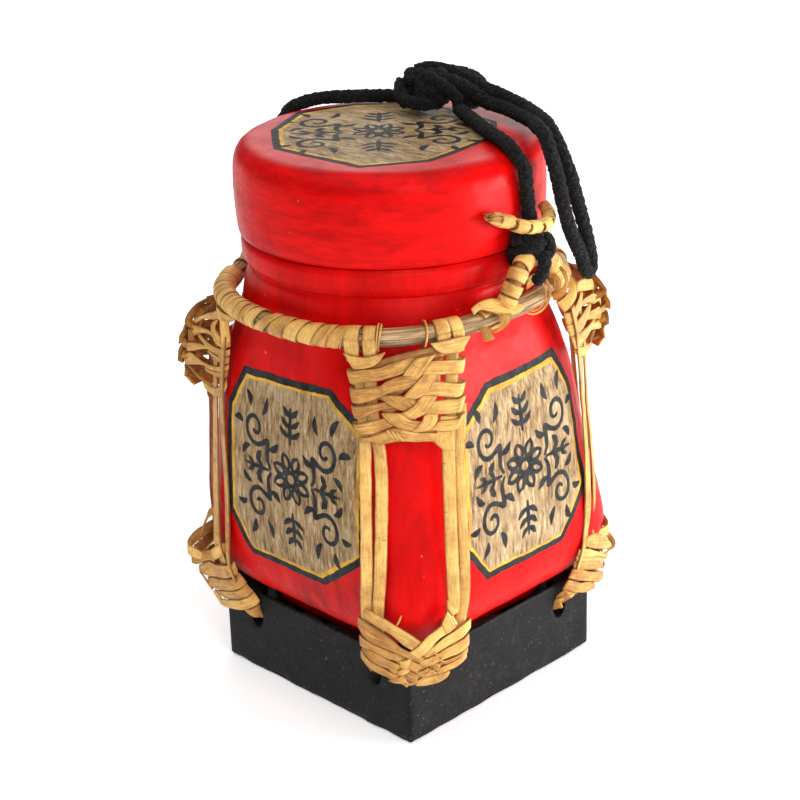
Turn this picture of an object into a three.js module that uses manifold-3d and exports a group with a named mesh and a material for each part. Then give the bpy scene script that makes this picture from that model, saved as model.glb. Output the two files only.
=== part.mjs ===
// Lidded rice box: a turned and carved wooden jar, square at the foot and
// round at the mouth, on a black square plinth, with a split-rattan corner
// harness, a cane shoulder hoop, a lift-off lid and a black carrying cord.
// Millimetres, +Z up, origin at the centre of the plinth's underside.
import * as THREE from 'three';
import { mergeVertices } from 'three/addons/utils/BufferGeometryUtils.js';
import Module from 'manifold-3d';

const wasm = await Module();
wasm.setup();

// ---------------------------------------------------------------- dimensions
const HALF = 57.4;            // half side of the square plinth
const BASE_H = 38.4;          // plinth height
const BASE_R = 2.2;           // plinth's vertical corner radius
const POCKET_HALF = 55.6;     // half side of the pocket between the corner blocks
const POCKET_END = 24;        // length of the solid corner blocks along a side
const POCKET_D = 6;           // pocket depth
const HOLE_S = 21;            // lashing hole, distance from the corner along a face
const HOLE_Z = 26.5;          // lashing hole height
const HOLE_R = 2.9;           // lashing hole half width
const HOLE_TALL = 1.7;        // lashing hole height over width
// body: height, half width across the faces, corner radius over half width
const BODY = [
  [32.7, 48.3, 1.22], [38.7, 49.4, 1.22], [40.6, 52.6, 1.25], [43.5, 57.4, 1.27], [48.0, 61.0, 1.29], [54.0, 63.8, 1.30],
  [61.0, 65.6, 1.305], [68.0, 66.5, 1.288], [76.0, 66.9, 1.263], [86.0, 66.9, 1.235], [100.0, 66.7, 1.202],
  [114.0, 66.2, 1.180], [127.0, 65.4, 1.168], [138.0, 64.0, 1.160], [147.0, 62.5, 1.148], [156.0, 61.0, 1.127],
  [165.0, 59.6, 1.092], [174.0, 59.1, 1.062], [181.0, 59.4, 1.035], [186.5, 59.4, 1.006], [188.5, 58.6, 1.0],
  [190.2, 60.8, 1.0], [194.0, 62.2, 1.0], [198.6, 62.2, 1.0], [200.6, 61.3, 1.0],
];
// the jar leans a little: height, sideways shift in both x and y
const LEAN = [[32, 0.4], [60, 1.1], [86, 0.3], [104, -0.5], [127, -1.2], [165, -1.6], [400, -1.6]];
const WALL = 6;               // body wall
const FLOOR_Z = 43;           // inside floor height
const MOUTH_R = 55;           // inside radius at the mouth
const AXIS = -1.6;            // lid and mouth axis, in both x and y
const RIM_IN = 49.6;          // mouth ring, inside radius
const RIM_OUT = 54.6;         // mouth ring, outside radius
const RIM_Z0 = 189.5;         // mouth ring, lower edge
const RIM_Z1 = 217;           // mouth ring, upper edge
const LID_Z0 = 201.6;         // lid, lower edge
const LID_Z1 = 239.4;         // lid, top
const LID_R = 64.2;           // lid, greatest radius
const HOOP = { x: -1.3, y: -1.6, z: 175.35, r: 68.5, square: 1.44, tiltX: 0.059, tiltY: 0.035 };
const CANE_R = 3.7;           // shoulder hoop, cane radius
const WRAP_IN = 4.3, WRAP_OUT = 5.3;  // strip wound round the cane
const CORD_R = 2.75;          // carrying cord radius
const STRIP_W = 4.6, STRIP_T = 1.1;   // split rattan strip
// corner harness: azimuth, tangential shift, strip places, strip radial place at top and foot,
// woven panel's height range, radial place at top and foot, bulge, lashing's radial shift
const CORNERS = [
  { name: 'front', deg: -45, t: [-14.6, -9.0, 16.6, 22.0], r: [80.6, 86.8], z: [137.3, 170.2], w: [74.2, 81.0, 2.5], t0: 2.6, half: 21.4, lash: 0 },
  { name: 'right', deg: 45, t: [-20.5, -14.4, 14.4, 20.5], r: [79.6, 86.2], z: [142.0, 173.6], w: [73.0, 79.8, 4.0], t0: 0, half: 21, lash: 1.2 },
  { name: 'back', deg: 135, t: [-20.5, -14.0, 14.0, 20.5], r: [80.6, 86.8], z: [134.4, 166.6], w: [73.0, 81.0, 4.0], t0: 0, half: 21, lash: 0 },
  { name: 'left', deg: 225, t: [-20.5, -14.0, 14.0, 20.5], r: [80.2, 85.4], z: [128.4, 164.4], w: [75.4, 81.0, 8.0], t0: 0, half: 21, lash: -0.4 },
];
const LASH_Z0 = 30, LASH_Z1 = 51;

// ----------------------------------------------------------------- utilities
const MAT = {
  red: { color: 0xc8101a, roughness: 0.5, metalness: 0 },
  black: { color: 0x161517, roughness: 0.6, metalness: 0 },
  rattan: { color: 0xc39a5c, roughness: 0.55, metalness: 0 },
  cane: { color: 0xa9875a, roughness: 0.55, metalness: 0 },
  cord: { color: 0x121214, roughness: 0.95, metalness: 0 },
  wood: { color: 0x7a2a1c, roughness: 0.7, metalness: 0 },
  panel: { color: 0xa88a5e, roughness: 0.7, metalness: 0 },
};
const root = new THREE.Group();

function solid(source) {
  let g = source.index ? source.clone() : source.clone();
  g.deleteAttribute('normal');
  g.deleteAttribute('uv');
  g = mergeVertices(g, 1e-3);
  const p = g.attributes.position, tri = [];
  for (let i = 0; i < g.index.count; i += 3) {
    const a = g.index.getX(i), b = g.index.getX(i + 1), c = g.index.getX(i + 2);
    if (a !== b && b !== c && a !== c) tri.push(a, b, c);
  }
  const A = new THREE.Vector3(), B = new THREE.Vector3(), C = new THREE.Vector3();
  let vol = 0;
  for (let i = 0; i < tri.length; i += 3) {
    A.fromBufferAttribute(p, tri[i]); B.fromBufferAttribute(p, tri[i + 1]); C.fromBufferAttribute(p, tri[i + 2]);
    vol += A.dot(B.clone().cross(C));
  }
  if (vol < 0) for (let i = 0; i < tri.length; i += 3) [tri[i + 1], tri[i + 2]] = [tri[i + 2], tri[i + 1]];
  const out = new THREE.BufferGeometry();
  out.setAttribute('position', new THREE.BufferAttribute(new Float32Array(p.array), 3));
  out.setIndex(tri);
  return out;
}
function toManifold(geo) {
  const g = solid(geo);
  return new wasm.Manifold(new wasm.Mesh({
    numProp: 3,
    vertProperties: new Float32Array(g.attributes.position.array),
    triVerts: new Uint32Array(g.index.array),
  }));
}
function fromManifold(m) {
  const mesh = m.getMesh();
  const g = new THREE.BufferGeometry();
  g.setAttribute('position', new THREE.BufferAttribute(new Float32Array(mesh.vertProperties), 3));
  g.setIndex(Array.from(mesh.triVerts));
  return g;
}
function cut(geo, ...tools) {
  let m = toManifold(geo);
  for (const t of tools) m = m.subtract(toManifold(t));
  return fromManifold(m);
}
function add(name, geo, mat) {
  const mesh = new THREE.Mesh(solid(geo), new THREE.MeshStandardMaterial(MAT[mat]));
  mesh.name = name;
  root.add(mesh);
  return mesh;
}
// radius of a soft square of half width 1 and corner radius q, at an angle
function square(theta, q) {
  if (q < 1.0005) return 1;
  const c0 = Math.abs(Math.cos(theta)), s0 = Math.abs(Math.sin(theta));
  const c = Math.max(c0, s0), s = Math.min(c0, s0);
  const rc = (Math.SQRT2 - q) / (Math.SQRT2 - 1), k = 1 - rc;
  let flat;
  if (s / c <= k) flat = 1 / c;
  else { const d = k * (c + s); flat = d + Math.sqrt(Math.max(0, d * d - (2 * k * k - rc * rc))); }
  const n = 1 / Math.max(0.06, 0.5 - Math.log2(q));
  const soft = Math.pow(Math.pow(c, n) + Math.pow(s, n), -1 / n);
  return 0.5 * (flat + soft);
}
function row(z) {
  if (z <= BODY[0][0]) return BODY[0];
  for (let i = 1; i < BODY.length; i++) {
    if (z <= BODY[i][0]) {
      const [z0, a0, q0] = BODY[i - 1], [z1, a1, q1] = BODY[i];
      const t = (z - z0) / (z1 - z0);
      return [z, a0 + (a1 - a0) * t, q0 + (q1 - q0) * t];
    }
  }
  return BODY[BODY.length - 1];
}
function table(rows, z) {
  if (z <= rows[0][0]) return rows[0][1];
  for (let i = 1; i < rows.length; i++) if (z <= rows[i][0]) return rows[i - 1][1] + ((rows[i][1] - rows[i - 1][1]) * (z - rows[i - 1][0])) / (rows[i][0] - rows[i - 1][0]);
  return rows[rows.length - 1][1];
}
function lean(g) {
  const p = g.attributes.position;
  for (let i = 0; i < p.count; i++) { const d = table(LEAN, p.getZ(i)); p.setXYZ(i, p.getX(i) + d, p.getY(i) + d, p.getZ(i)); }
  return g;
}
function lathe(pts, seg) {
  const g = new THREE.LatheGeometry(pts.map(([r, z]) => new THREE.Vector2(r, z)), seg);
  g.rotateX(Math.PI / 2);
  return g;
}
function squaredLathe(pts, seg) {      // pts: radius, height, squareness
  const g = new THREE.LatheGeometry(pts.map(([r, , ], i) => new THREE.Vector2(r, i)), seg);
  g.rotateX(Math.PI / 2);
  const p = g.attributes.position;
  for (let i = 0; i < p.count; i++) {
    const x = p.getX(i), y = p.getY(i), k = Math.round(p.getZ(i));
    const s = square(Math.atan2(y, x), pts[k][2]);
    p.setXYZ(i, x * s, y * s, pts[k][1]);
  }
  return g;
}
function tube(points, r, steps, sides, closed = false) {
  const path = new THREE.CatmullRomCurve3(points.map((v) => new THREE.Vector3(...v)), closed, 'centripetal');
  const shape = new THREE.Shape();
  for (let i = 0; i < sides; i++) {
    const a = (i / sides) * Math.PI * 2;
    if (i === 0) shape.moveTo(r * Math.cos(a), r * Math.sin(a)); else shape.lineTo(r * Math.cos(a), r * Math.sin(a));
  }
  shape.closePath();
  return new THREE.ExtrudeGeometry(shape, { steps, bevelEnabled: false, extrudePath: path });
}
function roundedSquare(h, r) {
  const s = new THREE.Shape();
  s.moveTo(-h + r, -h); s.lineTo(h - r, -h); s.absarc(h - r, -h + r, r, -Math.PI / 2, 0, false);
  s.lineTo(h, h - r); s.absarc(h - r, h - r, r, 0, Math.PI / 2, false);
  s.lineTo(-h + r, h); s.absarc(-h + r, h - r, r, Math.PI / 2, Math.PI, false);
  s.lineTo(-h, -h + r); s.absarc(-h + r, -h + r, r, Math.PI, Math.PI * 1.5, false);
  return s;
}

// -------------------------------------------------------------------- plinth
{
  const block = new THREE.ExtrudeGeometry(roundedSquare(HALF, BASE_R), { depth: BASE_H, bevelEnabled: false, curveSegments: 4 });
  const e = HALF - POCKET_END, h = POCKET_HALF, ps = new THREE.Shape();
  for (let k = 0; k < 4; k++) {
    const c = Math.cos((k * Math.PI) / 2), n = Math.sin((k * Math.PI) / 2);
    const q = [[h, e], [h - 1.8, e + 3.2], [h - 6.4, e + 6], [e + 6, h - 6.4], [e + 3.2, h - 1.8], [e, h]];
    q.forEach(([x, y], j) => { const X = x * c - y * n, Y = x * n + y * c; if (k === 0 && j === 0) ps.moveTo(X, Y); else ps.lineTo(X, Y); });
  }
  ps.closePath();
  const pocket = new THREE.ExtrudeGeometry(ps, { depth: POCKET_D + 5, bevelEnabled: false });
  pocket.translate(0, 0, BASE_H - POCKET_D);
  const tools = [pocket];
  for (let k = 0; k < 4; k++) {
    const g = new THREE.CylinderGeometry(HOLE_R, HOLE_R, 60, 12);     // along Y
    g.scale(1, 1, HOLE_TALL);
    g.rotateZ(-Math.PI / 4);                                          // along the diagonal
    g.translate(HALF - HOLE_S / 2, -HALF + HOLE_S / 2, HOLE_Z);
    g.rotateZ((k * Math.PI) / 2);
    tools.push(g);
  }
  add('base_plinth', cut(block, ...tools), 'black');
}

// ---------------------------------------------------------------------- body
{
  const out = BODY.map(([z, a, q]) => [a, z, q]);
  const top = out[out.length - 1];
  const inner = [];
  for (const z of [187, 178, 163, 147, 125, 100, 84, 62, 50]) {
    const [, a, q] = row(z);
    if (z > 180) inner.push([MOUTH_R, z, 1.0]);
    else inner.push([Math.min(a - WALL, 56 + (180 - z) * 0.1), z, 1 + (q - 1) * 0.9]);
  }
  const pts = [[0, BODY[0][0], 1.24], ...out, [MOUTH_R, top[1], 1.0], ...inner, [44, FLOOR_Z, 1.2], [0, FLOOR_Z, 1.2]];
  add('body_shell', lean(squaredLathe(pts, 48)), 'red');
}
// mouth ring: the spigot that the lid fits over
{
  const g = lathe([[RIM_IN, RIM_Z0], [RIM_OUT, RIM_Z0], [RIM_OUT, RIM_Z1 - 1.5], [RIM_OUT - 1.5, RIM_Z1], [RIM_IN + 1, RIM_Z1], [RIM_IN, RIM_Z1 - 1], [RIM_IN, RIM_Z0]], 40);
  g.translate(AXIS, AXIS, 0);
  add('mouth_ring', g, 'wood');
}
// ----------------------------------------------------------------------- lid
{
  const R = LID_R;
  const profile = [[0, LID_Z1 - 8], [48, LID_Z1 - 9], [55.2, LID_Z1 - 14], [55.2, LID_Z0], [61.6, LID_Z0], [62.9, LID_Z0 + 1.4],
    [R - 0.3, LID_Z0 + 9], [R, LID_Z0 + 18], [R - 0.4, LID_Z1 - 9], [R - 1.6, LID_Z1 - 5], [R - 4.2, LID_Z1 - 1.9], [R - 9, LID_Z1 - 0.5], [0, LID_Z1]];
  const g = lathe(profile, 48);
  g.translate(AXIS, AXIS, 0);
  add('lid_shell', g, 'red');
}
// --------------------------------------------------------------------- hoop
function hoopPoint(th) {
  const r = HOOP.r - HOOP.square * Math.cos(4 * th), x = HOOP.x + r * Math.cos(th), y = HOOP.y + r * Math.sin(th);
  return new THREE.Vector3(x, y, HOOP.z + HOOP.tiltX * x + HOOP.tiltY * y);
}
{
  const g = new THREE.TorusGeometry(HOOP.r, CANE_R, 8, 56);
  const p = g.attributes.position;
  for (let i = 0; i < p.count; i++) {
    const x = p.getX(i), y = p.getY(i), th = Math.atan2(y, x), d = Math.hypot(x, y) - HOOP.r, q = hoopPoint(th);
    p.setXYZ(i, q.x + d * Math.cos(th), q.y + d * Math.sin(th), q.z + p.getZ(i));
  }
  add('shoulder_hoop', g, 'cane');
}
// strip wound round the cane between two azimuths, in degrees
function wound(name, from, to, steps) {
  const pts = [];
  for (let i = 0; i <= 12; i++) pts.push(hoopPoint(((from + ((to - from) * i) / 12) * Math.PI) / 180));
  const ring = (r) => { const s = new THREE.Path(); for (let i = 0; i < 12; i++) { const a = (i / 12) * Math.PI * 2; if (i) s.lineTo(r * Math.cos(a), r * Math.sin(a)); else s.moveTo(r, 0); } s.closePath(); return s; };
  const shape = new THREE.Shape(ring(WRAP_OUT).getPoints());
  shape.holes.push(ring(WRAP_IN));
  add(name, new THREE.ExtrudeGeometry(shape, { steps, bevelEnabled: false, extrudePath: new THREE.CatmullRomCurve3(pts, false, 'centripetal') }), 'rattan');
}
wound('hoop_binding_front', -115, -66, 8);
wound('hoop_binding_back', 64, 114, 8);

// ------------------------------------------------------------ corner harness
// built as x = along the tangent, y = outwards from the axis, z = up
function corner(g, deg) {
  const th = (deg * Math.PI) / 180, c = Math.cos(th), n = Math.sin(th), p = g.attributes.position;
  for (let i = 0; i < p.count; i++) { const t = p.getX(i), r = p.getY(i); p.setXYZ(i, r * c - t * n, r * n + t * c, p.getZ(i)); }
  return g;
}
for (const C of CORNERS) {
  // woven panel under the hoop
  {
    const s = new THREE.Shape(), n = 6, [z0, z1] = C.z, [rt, rb, bulge] = C.w;
    const arc = (r0) => (t) => [t + C.t0, r0 - (t * t) / 130];
    const o = arc(1.3), i = arc(-1.3);
    for (let j = 0; j <= n; j++) { const [x, y] = o(-C.half + (2 * C.half * j) / n); if (j) s.lineTo(x, y); else s.moveTo(x, y); }
    for (let j = n; j >= 0; j--) { const [x, y] = i(-C.half + (2 * C.half * j) / n); s.lineTo(x, y); }
    s.closePath();
    const h = z1 - z0;
    const g = new THREE.ExtrudeGeometry(s, { depth: h, steps: 5, bevelEnabled: false });
    const p = g.attributes.position;
    for (let k = 0; k < p.count; k++) { const f = p.getZ(k) / h; p.setXYZ(k, p.getX(k), p.getY(k) + rb + (rt - rb) * f + bulge * Math.sin(Math.PI * f), p.getZ(k) + z0); }
    add(`corner_weave_${C.name}`, corner(g, C.deg), 'rattan');
  }
  // upright strips
  C.t.forEach((t, k) => {
    const a = new THREE.Vector3(t, C.r[0] - (t * t) / 260, C.z[0] - 0.5);
    const b = new THREE.Vector3(t, C.r[1] - (t * t) / 110, LASH_Z1 + 0.6);
    const L = a.distanceTo(b), g = new THREE.BoxGeometry(STRIP_W, STRIP_T, L);
    const dir = b.clone().sub(a).normalize();
    g.rotateX(Math.atan2(dir.y, -dir.z));
    g.translate((a.x + b.x) / 2, (a.y + b.y) / 2, (a.z + b.z) / 2);
    add(`corner_strip_${C.name}_${k + 1}`, corner(g, C.deg), 'rattan');
  });
  // straps that carry the uprights on the hoop
  [-1, 1].forEach((sgn, k) => {
    const t = C.t0 + sgn * 16.2, th = (C.deg * Math.PI) / 180 + t / 69;
    wound(`hoop_strap_${C.name}_${k + 1}`, ((th - 5.2 / 69) * 180) / Math.PI, ((th + 5.2 / 69) * 180) / Math.PI, 2);
  });
  // lashing round the plinth's corner
  {
    const s = new THREE.Shape();
    const pts = [[0, 89.8], [11, 87.9], [19.6, 78.6], [24.9, 69.2], [23.4, 67.3], [9.4, 82.2], [0, 85.6]];
    pts.forEach(([x, y], j) => (j ? s.lineTo(x, y + C.lash) : s.moveTo(x, y + C.lash)));
    for (let j = pts.length - 2; j > 0; j--) s.lineTo(-pts[j][0], pts[j][1] + C.lash);
    s.closePath();
    const g = new THREE.ExtrudeGeometry(s, { depth: LASH_Z1 - LASH_Z0, bevelEnabled: false });
    const p = g.attributes.position, H = LASH_Z1 - LASH_Z0;   // lower down it closes on the plinth's corner
    for (let k = 0; k < p.count; k++) { const f = p.getZ(k) / H; p.setXYZ(k, p.getX(k), p.getY(k) - (1 - f) * (3.0 + (3.4 * Math.abs(p.getX(k))) / 24), p.getZ(k) + LASH_Z0); }
    add(`base_lashing_${C.name}`, corner(g, C.deg), 'rattan');
  }
}
// --------------------------------------------- lid loops, collar eyes, knots
const DROP = 8;               // the hoop hangs lower on the -X side
for (const [side, sx] of [['right', 1], ['left', -1]]) {
  const X = (pts, dz = 0) => pts.map(([x, y, z]) => (sx > 0 ? [x, y, z] : [2 * AXIS - x, 2 * AXIS - y, z - dz]));
  add(`lid_loop_${side}`, tube(X([[65.0, -12, 220.4], [67.6, -7.5, 218.4], [70.6, -1.5, 216.2], [72.4, 5, 214.4], [72.4, 11.5, 213.6], [70.0, 17.8, 213.8], [65.6, 21.8, 215.2], [60.6, 21.6, 217.2]]), 2.3, 14, 8), 'rattan');
  add(`collar_eye_${side}`, tube(X([[67.0, -13.4, 187.2], [68.6, -8, 191.6], [68.8, 0, 195.6], [68.2, 9, 196.9], [66.6, 17, 195.0], [63.8, 24.6, 192.0], [61.2, 29.6, 189.0]], DROP), 3.9, 14, 8), 'rattan');
  const k = new THREE.SphereGeometry(1, 12, 8);
  k.scale(4.9, 9.6, 4.1);
  const [[kx, ky, kz]] = X([[71.6, 7, 205.5]], DROP);
  k.rotateZ(0.09);
  k.translate(kx, ky, kz);
  add(`eye_knot_${side}`, k, 'cord');
}
// --------------------------------------------------------------------- cords
{
  const knot = new THREE.SphereGeometry(1, 14, 10);
  knot.scale(18, 12.5, 10);
  knot.rotateZ(Math.atan2(0.62, 0.785));
  knot.translate(-5, 37, 250.2);
  add('top_knot', knot, 'cord');
  add('cord_right', tube([
    [13.5, 29.5, 242.6], [26.6, 22.5, 242.4], [41.0, 14.9, 242.4], [50.5, 10.4, 242.3], [57.2, 7.7, 241.0], [62.0, 6.4, 238.6], [65.3, 6.4, 234.2],
    [65.6, 6.9, 228.6], [65.5, 7.9, 222.5], [65.4, 8.6, 216.5], [66.1, 8.8, 213.2], [67.0, 8.6, 211.2],
  ], CORD_R, 22, 8), 'cord');
  add('cord_left', tube([
    [-24.6, 35.2, 243.2], [-35.4, 33.0, 242.5], [-44.2, 26.6, 242.4], [-51.0, 19.2, 242.4], [-56.0, 12.8, 242.4], [-60.6, 7.6, 241.2], [-65.6, 3.7, 238.4],
    [-68.2, 0.8, 233.0], [-69.3, -2.2, 226.0], [-69.2, -5.4, 219.0], [-69.0, -8.3, 212.0], [-69.4, -9.6, 207.0], [-70.2, -10.2, 203.2],
  ], CORD_R, 26, 8), 'cord');
  add('carry_loop', tube([
    [12.6, 44.6, 250.0], [21, 46.6, 247.6], [33, 43.9, 246.2], [46, 37.3, 245.8], [57, 30.4, 245.3], [65.4, 26.6, 239.8], [69.4, 27.4, 231], [71.3, 30.7, 218],
    [72.3, 34.6, 205], [72.3, 37.6, 195.5], [71.9, 39.2, 190.0], [72.5, 37.4, 185.8], [73.7, 33.4, 188.4], [73.9, 30.2, 195.5], [73.9, 23.7, 207], [74.2, 19, 219],
    [72.8, 16.9, 231], [70, 16.2, 240], [64, 19.4, 245.2], [56.4, 24.2, 246.2], [47, 32.0, 245.0], [33, 39.0, 244.4], [22.4, 41.6, 245.0], [14.6, 41.6, 245.6],
  ], CORD_R, 48, 8), 'cord');
}

export default root;
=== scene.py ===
import bpy, math, random
import numpy as np
from mathutils import Vector, Matrix
from mathutils import noise as mnoise


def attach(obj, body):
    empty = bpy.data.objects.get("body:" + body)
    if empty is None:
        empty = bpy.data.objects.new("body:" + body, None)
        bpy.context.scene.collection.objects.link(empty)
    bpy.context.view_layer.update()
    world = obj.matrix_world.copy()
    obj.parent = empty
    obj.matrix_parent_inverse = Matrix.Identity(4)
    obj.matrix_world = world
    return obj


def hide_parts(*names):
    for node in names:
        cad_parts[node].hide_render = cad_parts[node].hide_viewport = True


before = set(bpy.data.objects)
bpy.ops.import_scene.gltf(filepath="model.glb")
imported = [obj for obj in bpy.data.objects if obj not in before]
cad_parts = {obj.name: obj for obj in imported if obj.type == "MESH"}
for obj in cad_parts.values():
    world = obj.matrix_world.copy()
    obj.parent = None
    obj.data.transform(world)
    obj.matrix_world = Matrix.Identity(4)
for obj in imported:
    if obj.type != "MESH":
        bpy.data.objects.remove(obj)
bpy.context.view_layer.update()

U = 0.057
MM = 0.001
rnd = random.Random(7)


# ---------------------------------------------------------------- camera
def camera():
    a, D, H, yaw, pitch, roll, f = 0.7912, 13.9825, 7.9619, 0.0009, 0.3951, -0.0308, 2011.975
    back = Vector((math.sin(a), -math.cos(a), 0))
    C = (back * D + Vector((0, 0, H))) * U
    az = a + yaw
    fwd = Vector((-math.sin(az) * math.cos(pitch), math.cos(az) * math.cos(pitch), -math.sin(pitch)))
    right = Vector((math.cos(az), math.sin(az), 0))
    up = right.cross(fwd)
    r2 = right * math.cos(roll) + up * math.sin(roll)
    u2 = right * -math.sin(roll) + up * math.cos(roll)
    cam = bpy.data.cameras.new("photo_camera")
    cam.sensor_width = 36.0
    cam.sensor_fit = 'HORIZONTAL'
    cam.lens = f / 800.0 * 36.0
    cam.clip_start = 0.05
    ob = bpy.data.objects.new("photo_camera", cam)
    bpy.context.scene.collection.objects.link(ob)
    m = Matrix((r2, u2, -fwd)).transposed().to_4x4()
    m.translation = C
    ob.matrix_world = m
    bpy.context.scene.camera = ob


camera()


# ------------------------------------------------------------- sweeping tools
def spline(rows, step):
    """Rows of numbers, the first three a place in mm, on a centripetal Catmull-Rom line, about step mm apart."""
    R = np.array([list(r) for r in rows], float)
    R = np.vstack([2 * R[0] - R[1], R, 2 * R[-1] - R[-2]])
    out = []
    for i in range(1, len(R) - 2):
        p = R[i - 1:i + 3]
        t = [0.0]
        for k in range(3):
            t.append(t[-1] + max(np.linalg.norm(p[k + 1][:3] - p[k][:3]), 1e-4) ** 0.5)
        n = max(1, int(round(np.linalg.norm(p[2][:3] - p[1][:3]) / step)))
        for k in range(n):
            u = t[1] + (t[2] - t[1]) * k / n
            a1 = p[0] * ((t[1] - u) / (t[1] - t[0])) + p[1] * ((u - t[0]) / (t[1] - t[0]))
            a2 = p[1] * ((t[2] - u) / (t[2] - t[1])) + p[2] * ((u - t[1]) / (t[2] - t[1]))
            a3 = p[2] * ((t[3] - u) / (t[3] - t[2])) + p[3] * ((u - t[2]) / (t[3] - t[2]))
            b1 = a1 * ((t[2] - u) / (t[2] - t[0])) + a2 * ((u - t[0]) / (t[2] - t[0]))
            b2 = a2 * ((t[3] - u) / (t[3] - t[1])) + a3 * ((u - t[1]) / (t[3] - t[1]))
            out.append(b1 * ((t[2] - u) / (t[2] - t[1])) + b2 * ((u - t[1]) / (t[2] - t[1])))
    out.append(R[-2])
    return np.array(out)


def unit(v):
    return v / np.maximum(np.linalg.norm(v, axis=-1, keepdims=True), 1e-9)


def tangents(P):
    T = np.empty_like(P)
    T[1:-1] = P[2:] - P[:-2]
    T[0], T[-1] = P[1] - P[0], P[-1] - P[-2]
    return unit(T)


def carried(P):
    """Normals carried along a line without twisting."""
    T = tangents(P)
    n = np.array([0.0, 0.0, 1.0]) if abs(T[0][2]) < 0.9 else np.array([1.0, 0.0, 0.0])
    N = []
    for t in T:
        n = n - t * np.dot(n, t)
        n = n / max(np.linalg.norm(n), 1e-9)
        N.append(n)
    return np.array(N)


class Piece:
    """A mesh made of swept strips and rods. along, across and tone are read by the materials."""

    def __init__(self):
        self.v, self.f, self.al, self.ac, self.tn = [], [], [], [], []
        self.n = 0

    def rings(self, V, across, along, tone, closed=False, caps=True):
        """V is (rings, points, 3) in mm."""
        k, m = V.shape[:2]
        base = self.n
        self.v.append(V.reshape(-1, 3))
        self.n += k * m
        self.ac.append(np.tile(across, k))
        self.al.append(np.repeat(along, m))
        self.tn.append(np.full(k * m, tone))
        last = k if closed else k - 1
        for i in range(last):
            a, b = base + i * m, base + ((i + 1) % k) * m
            for j in range(m):
                j2 = (j + 1) % m
                self.f.append((a + j, a + j2, b + j2, b + j))
        if caps and not closed:
            self.f.append(tuple(base + j for j in reversed(range(m))))
            self.f.append(tuple(base + (k - 1) * m + j for j in range(m)))

    def strip(self, rows, width, thick, normal, step=1.3, tone=None, taper=0.0, crown=0.5, wobble=0.05, curl=0.0):
        """A split strip along rows of (x, y, z), with normal(P, T) for its outer side; any other normal is ignored and
        normals carried along the line are used.
        """
        P = spline(rows, step)[:, :3]
        T = tangents(P)
        N = normal(P, T) if callable(normal) else carried(P)
        N = unit(N - T * np.sum(N * T, axis=1, keepdims=True))
        B = np.cross(T, N)
        s = np.concatenate([[0], np.cumsum(np.linalg.norm(np.diff(P, axis=0), axis=1))])
        tone = rnd.random() if tone is None else tone
        seed = rnd.random() * 100
        prof = [(-1.0, -0.5), (-1.0, 0.05), (-0.88, 0.40), (-0.45, 0.42 + crown * 0.18), (0.0, 0.42 + crown * 0.24), (0.45, 0.42 + crown * 0.18),
                (0.88, 0.40), (1.0, 0.05), (1.0, -0.5), (0.4, -0.5 + curl), (-0.4, -0.5 + curl)]
        V = np.empty((len(P), len(prof), 3))
        for i in range(len(P)):
            w = width / 2 * (1 + wobble * mnoise.noise(Vector((s[i] * 0.12, seed, 0))) * 2)
            if taper:
                e = min(s[i], s[-1] - s[i])
                w *= min(1.0, 0.45 + 0.55 * e / taper)
            tw = 0.10 * mnoise.noise(Vector((s[i] * 0.07, seed + 9, 0)))
            n, b = N[i] * math.cos(tw) - B[i] * math.sin(tw), B[i] * math.cos(tw) + N[i] * math.sin(tw)
            for j, (a, h) in enumerate(prof):
                V[i, j] = P[i] + b * (a * w) + n * (h * thick)
        # profile runs so that the faces point out
        self.rings(V, np.array([a for a, h in prof]), s * MM, tone)
        return P

    def rod(self, P, radius, sides=12, tone=None, closed=False, ridges=0.0, ridge_n=14, caps=True, N=None):
        T = tangents(P)
        if closed:
            T = unit(np.roll(P, -1, axis=0) - np.roll(P, 1, axis=0))
        N = carried(P) if N is None else unit(N - T * np.sum(N * T, axis=1, keepdims=True))
        B = np.cross(T, N)
        s = np.concatenate([[0], np.cumsum(np.linalg.norm(np.diff(P, axis=0), axis=1))])
        r = np.full(len(P), radius) if np.isscalar(radius) else np.asarray(radius)
        tone = rnd.random() if tone is None else tone
        seed = rnd.random() * 50
        V = np.empty((len(P), sides, 3))
        ang = np.arange(sides) / sides * 2 * math.pi
        for i in range(len(P)):
            for j, a in enumerate(ang):
                q = r[i]
                if ridges:
                    c = mnoise.noise(Vector((math.cos(a) * ridge_n * 0.4, math.sin(a) * ridge_n * 0.4, s[i] * 0.015 + seed)))
                    q += ridges * c
                V[i, j] = P[i] + (N[i] * math.cos(a) + B[i] * math.sin(a)) * q
        self.rings(V, ang / math.pi - 1, s * MM, tone, closed, caps)

    def build(self, name, material, body, replaces=(), slot="split_rattan"):
        V = np.concatenate(self.v) * MM
        me = bpy.data.meshes.new(name)
        me.from_pydata([tuple(p) for p in V], [], self.f)
        for nm, data in (("along", self.al), ("across", self.ac), ("tone", self.tn)):
            at = me.attributes.new(nm, 'FLOAT', 'POINT')
            at.data.foreach_set("value", np.concatenate(data).astype(np.float32))
        me.polygons.foreach_set("use_smooth", [True] * len(me.polygons))
        me.materials.append(material)
        me.update()
        ob = bpy.data.objects.new(name, me)
        bpy.context.scene.collection.objects.link(ob)
        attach(ob, body)
        if replaces:
            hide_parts(*replaces)
        return ob


# ---------------------------------------------------------------- materials
def mat(name):
    m = bpy.data.materials.new(name)
    m.use_nodes = True
    return m, m.node_tree, m.node_tree.nodes["Principled BSDF"]


def noise(nt, scale, detail=5.0, rough=0.6, vec=None, distort=0.0):
    n = nt.nodes.new("ShaderNodeTexNoise")
    n.inputs["Scale"].default_value = scale
    n.inputs["Detail"].default_value = detail
    n.inputs["Roughness"].default_value = rough
    n.inputs["Distortion"].default_value = distort
    if vec is not None:
        nt.links.new(vec, n.inputs["Vector"])
    return n.outputs["Fac"]


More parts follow.
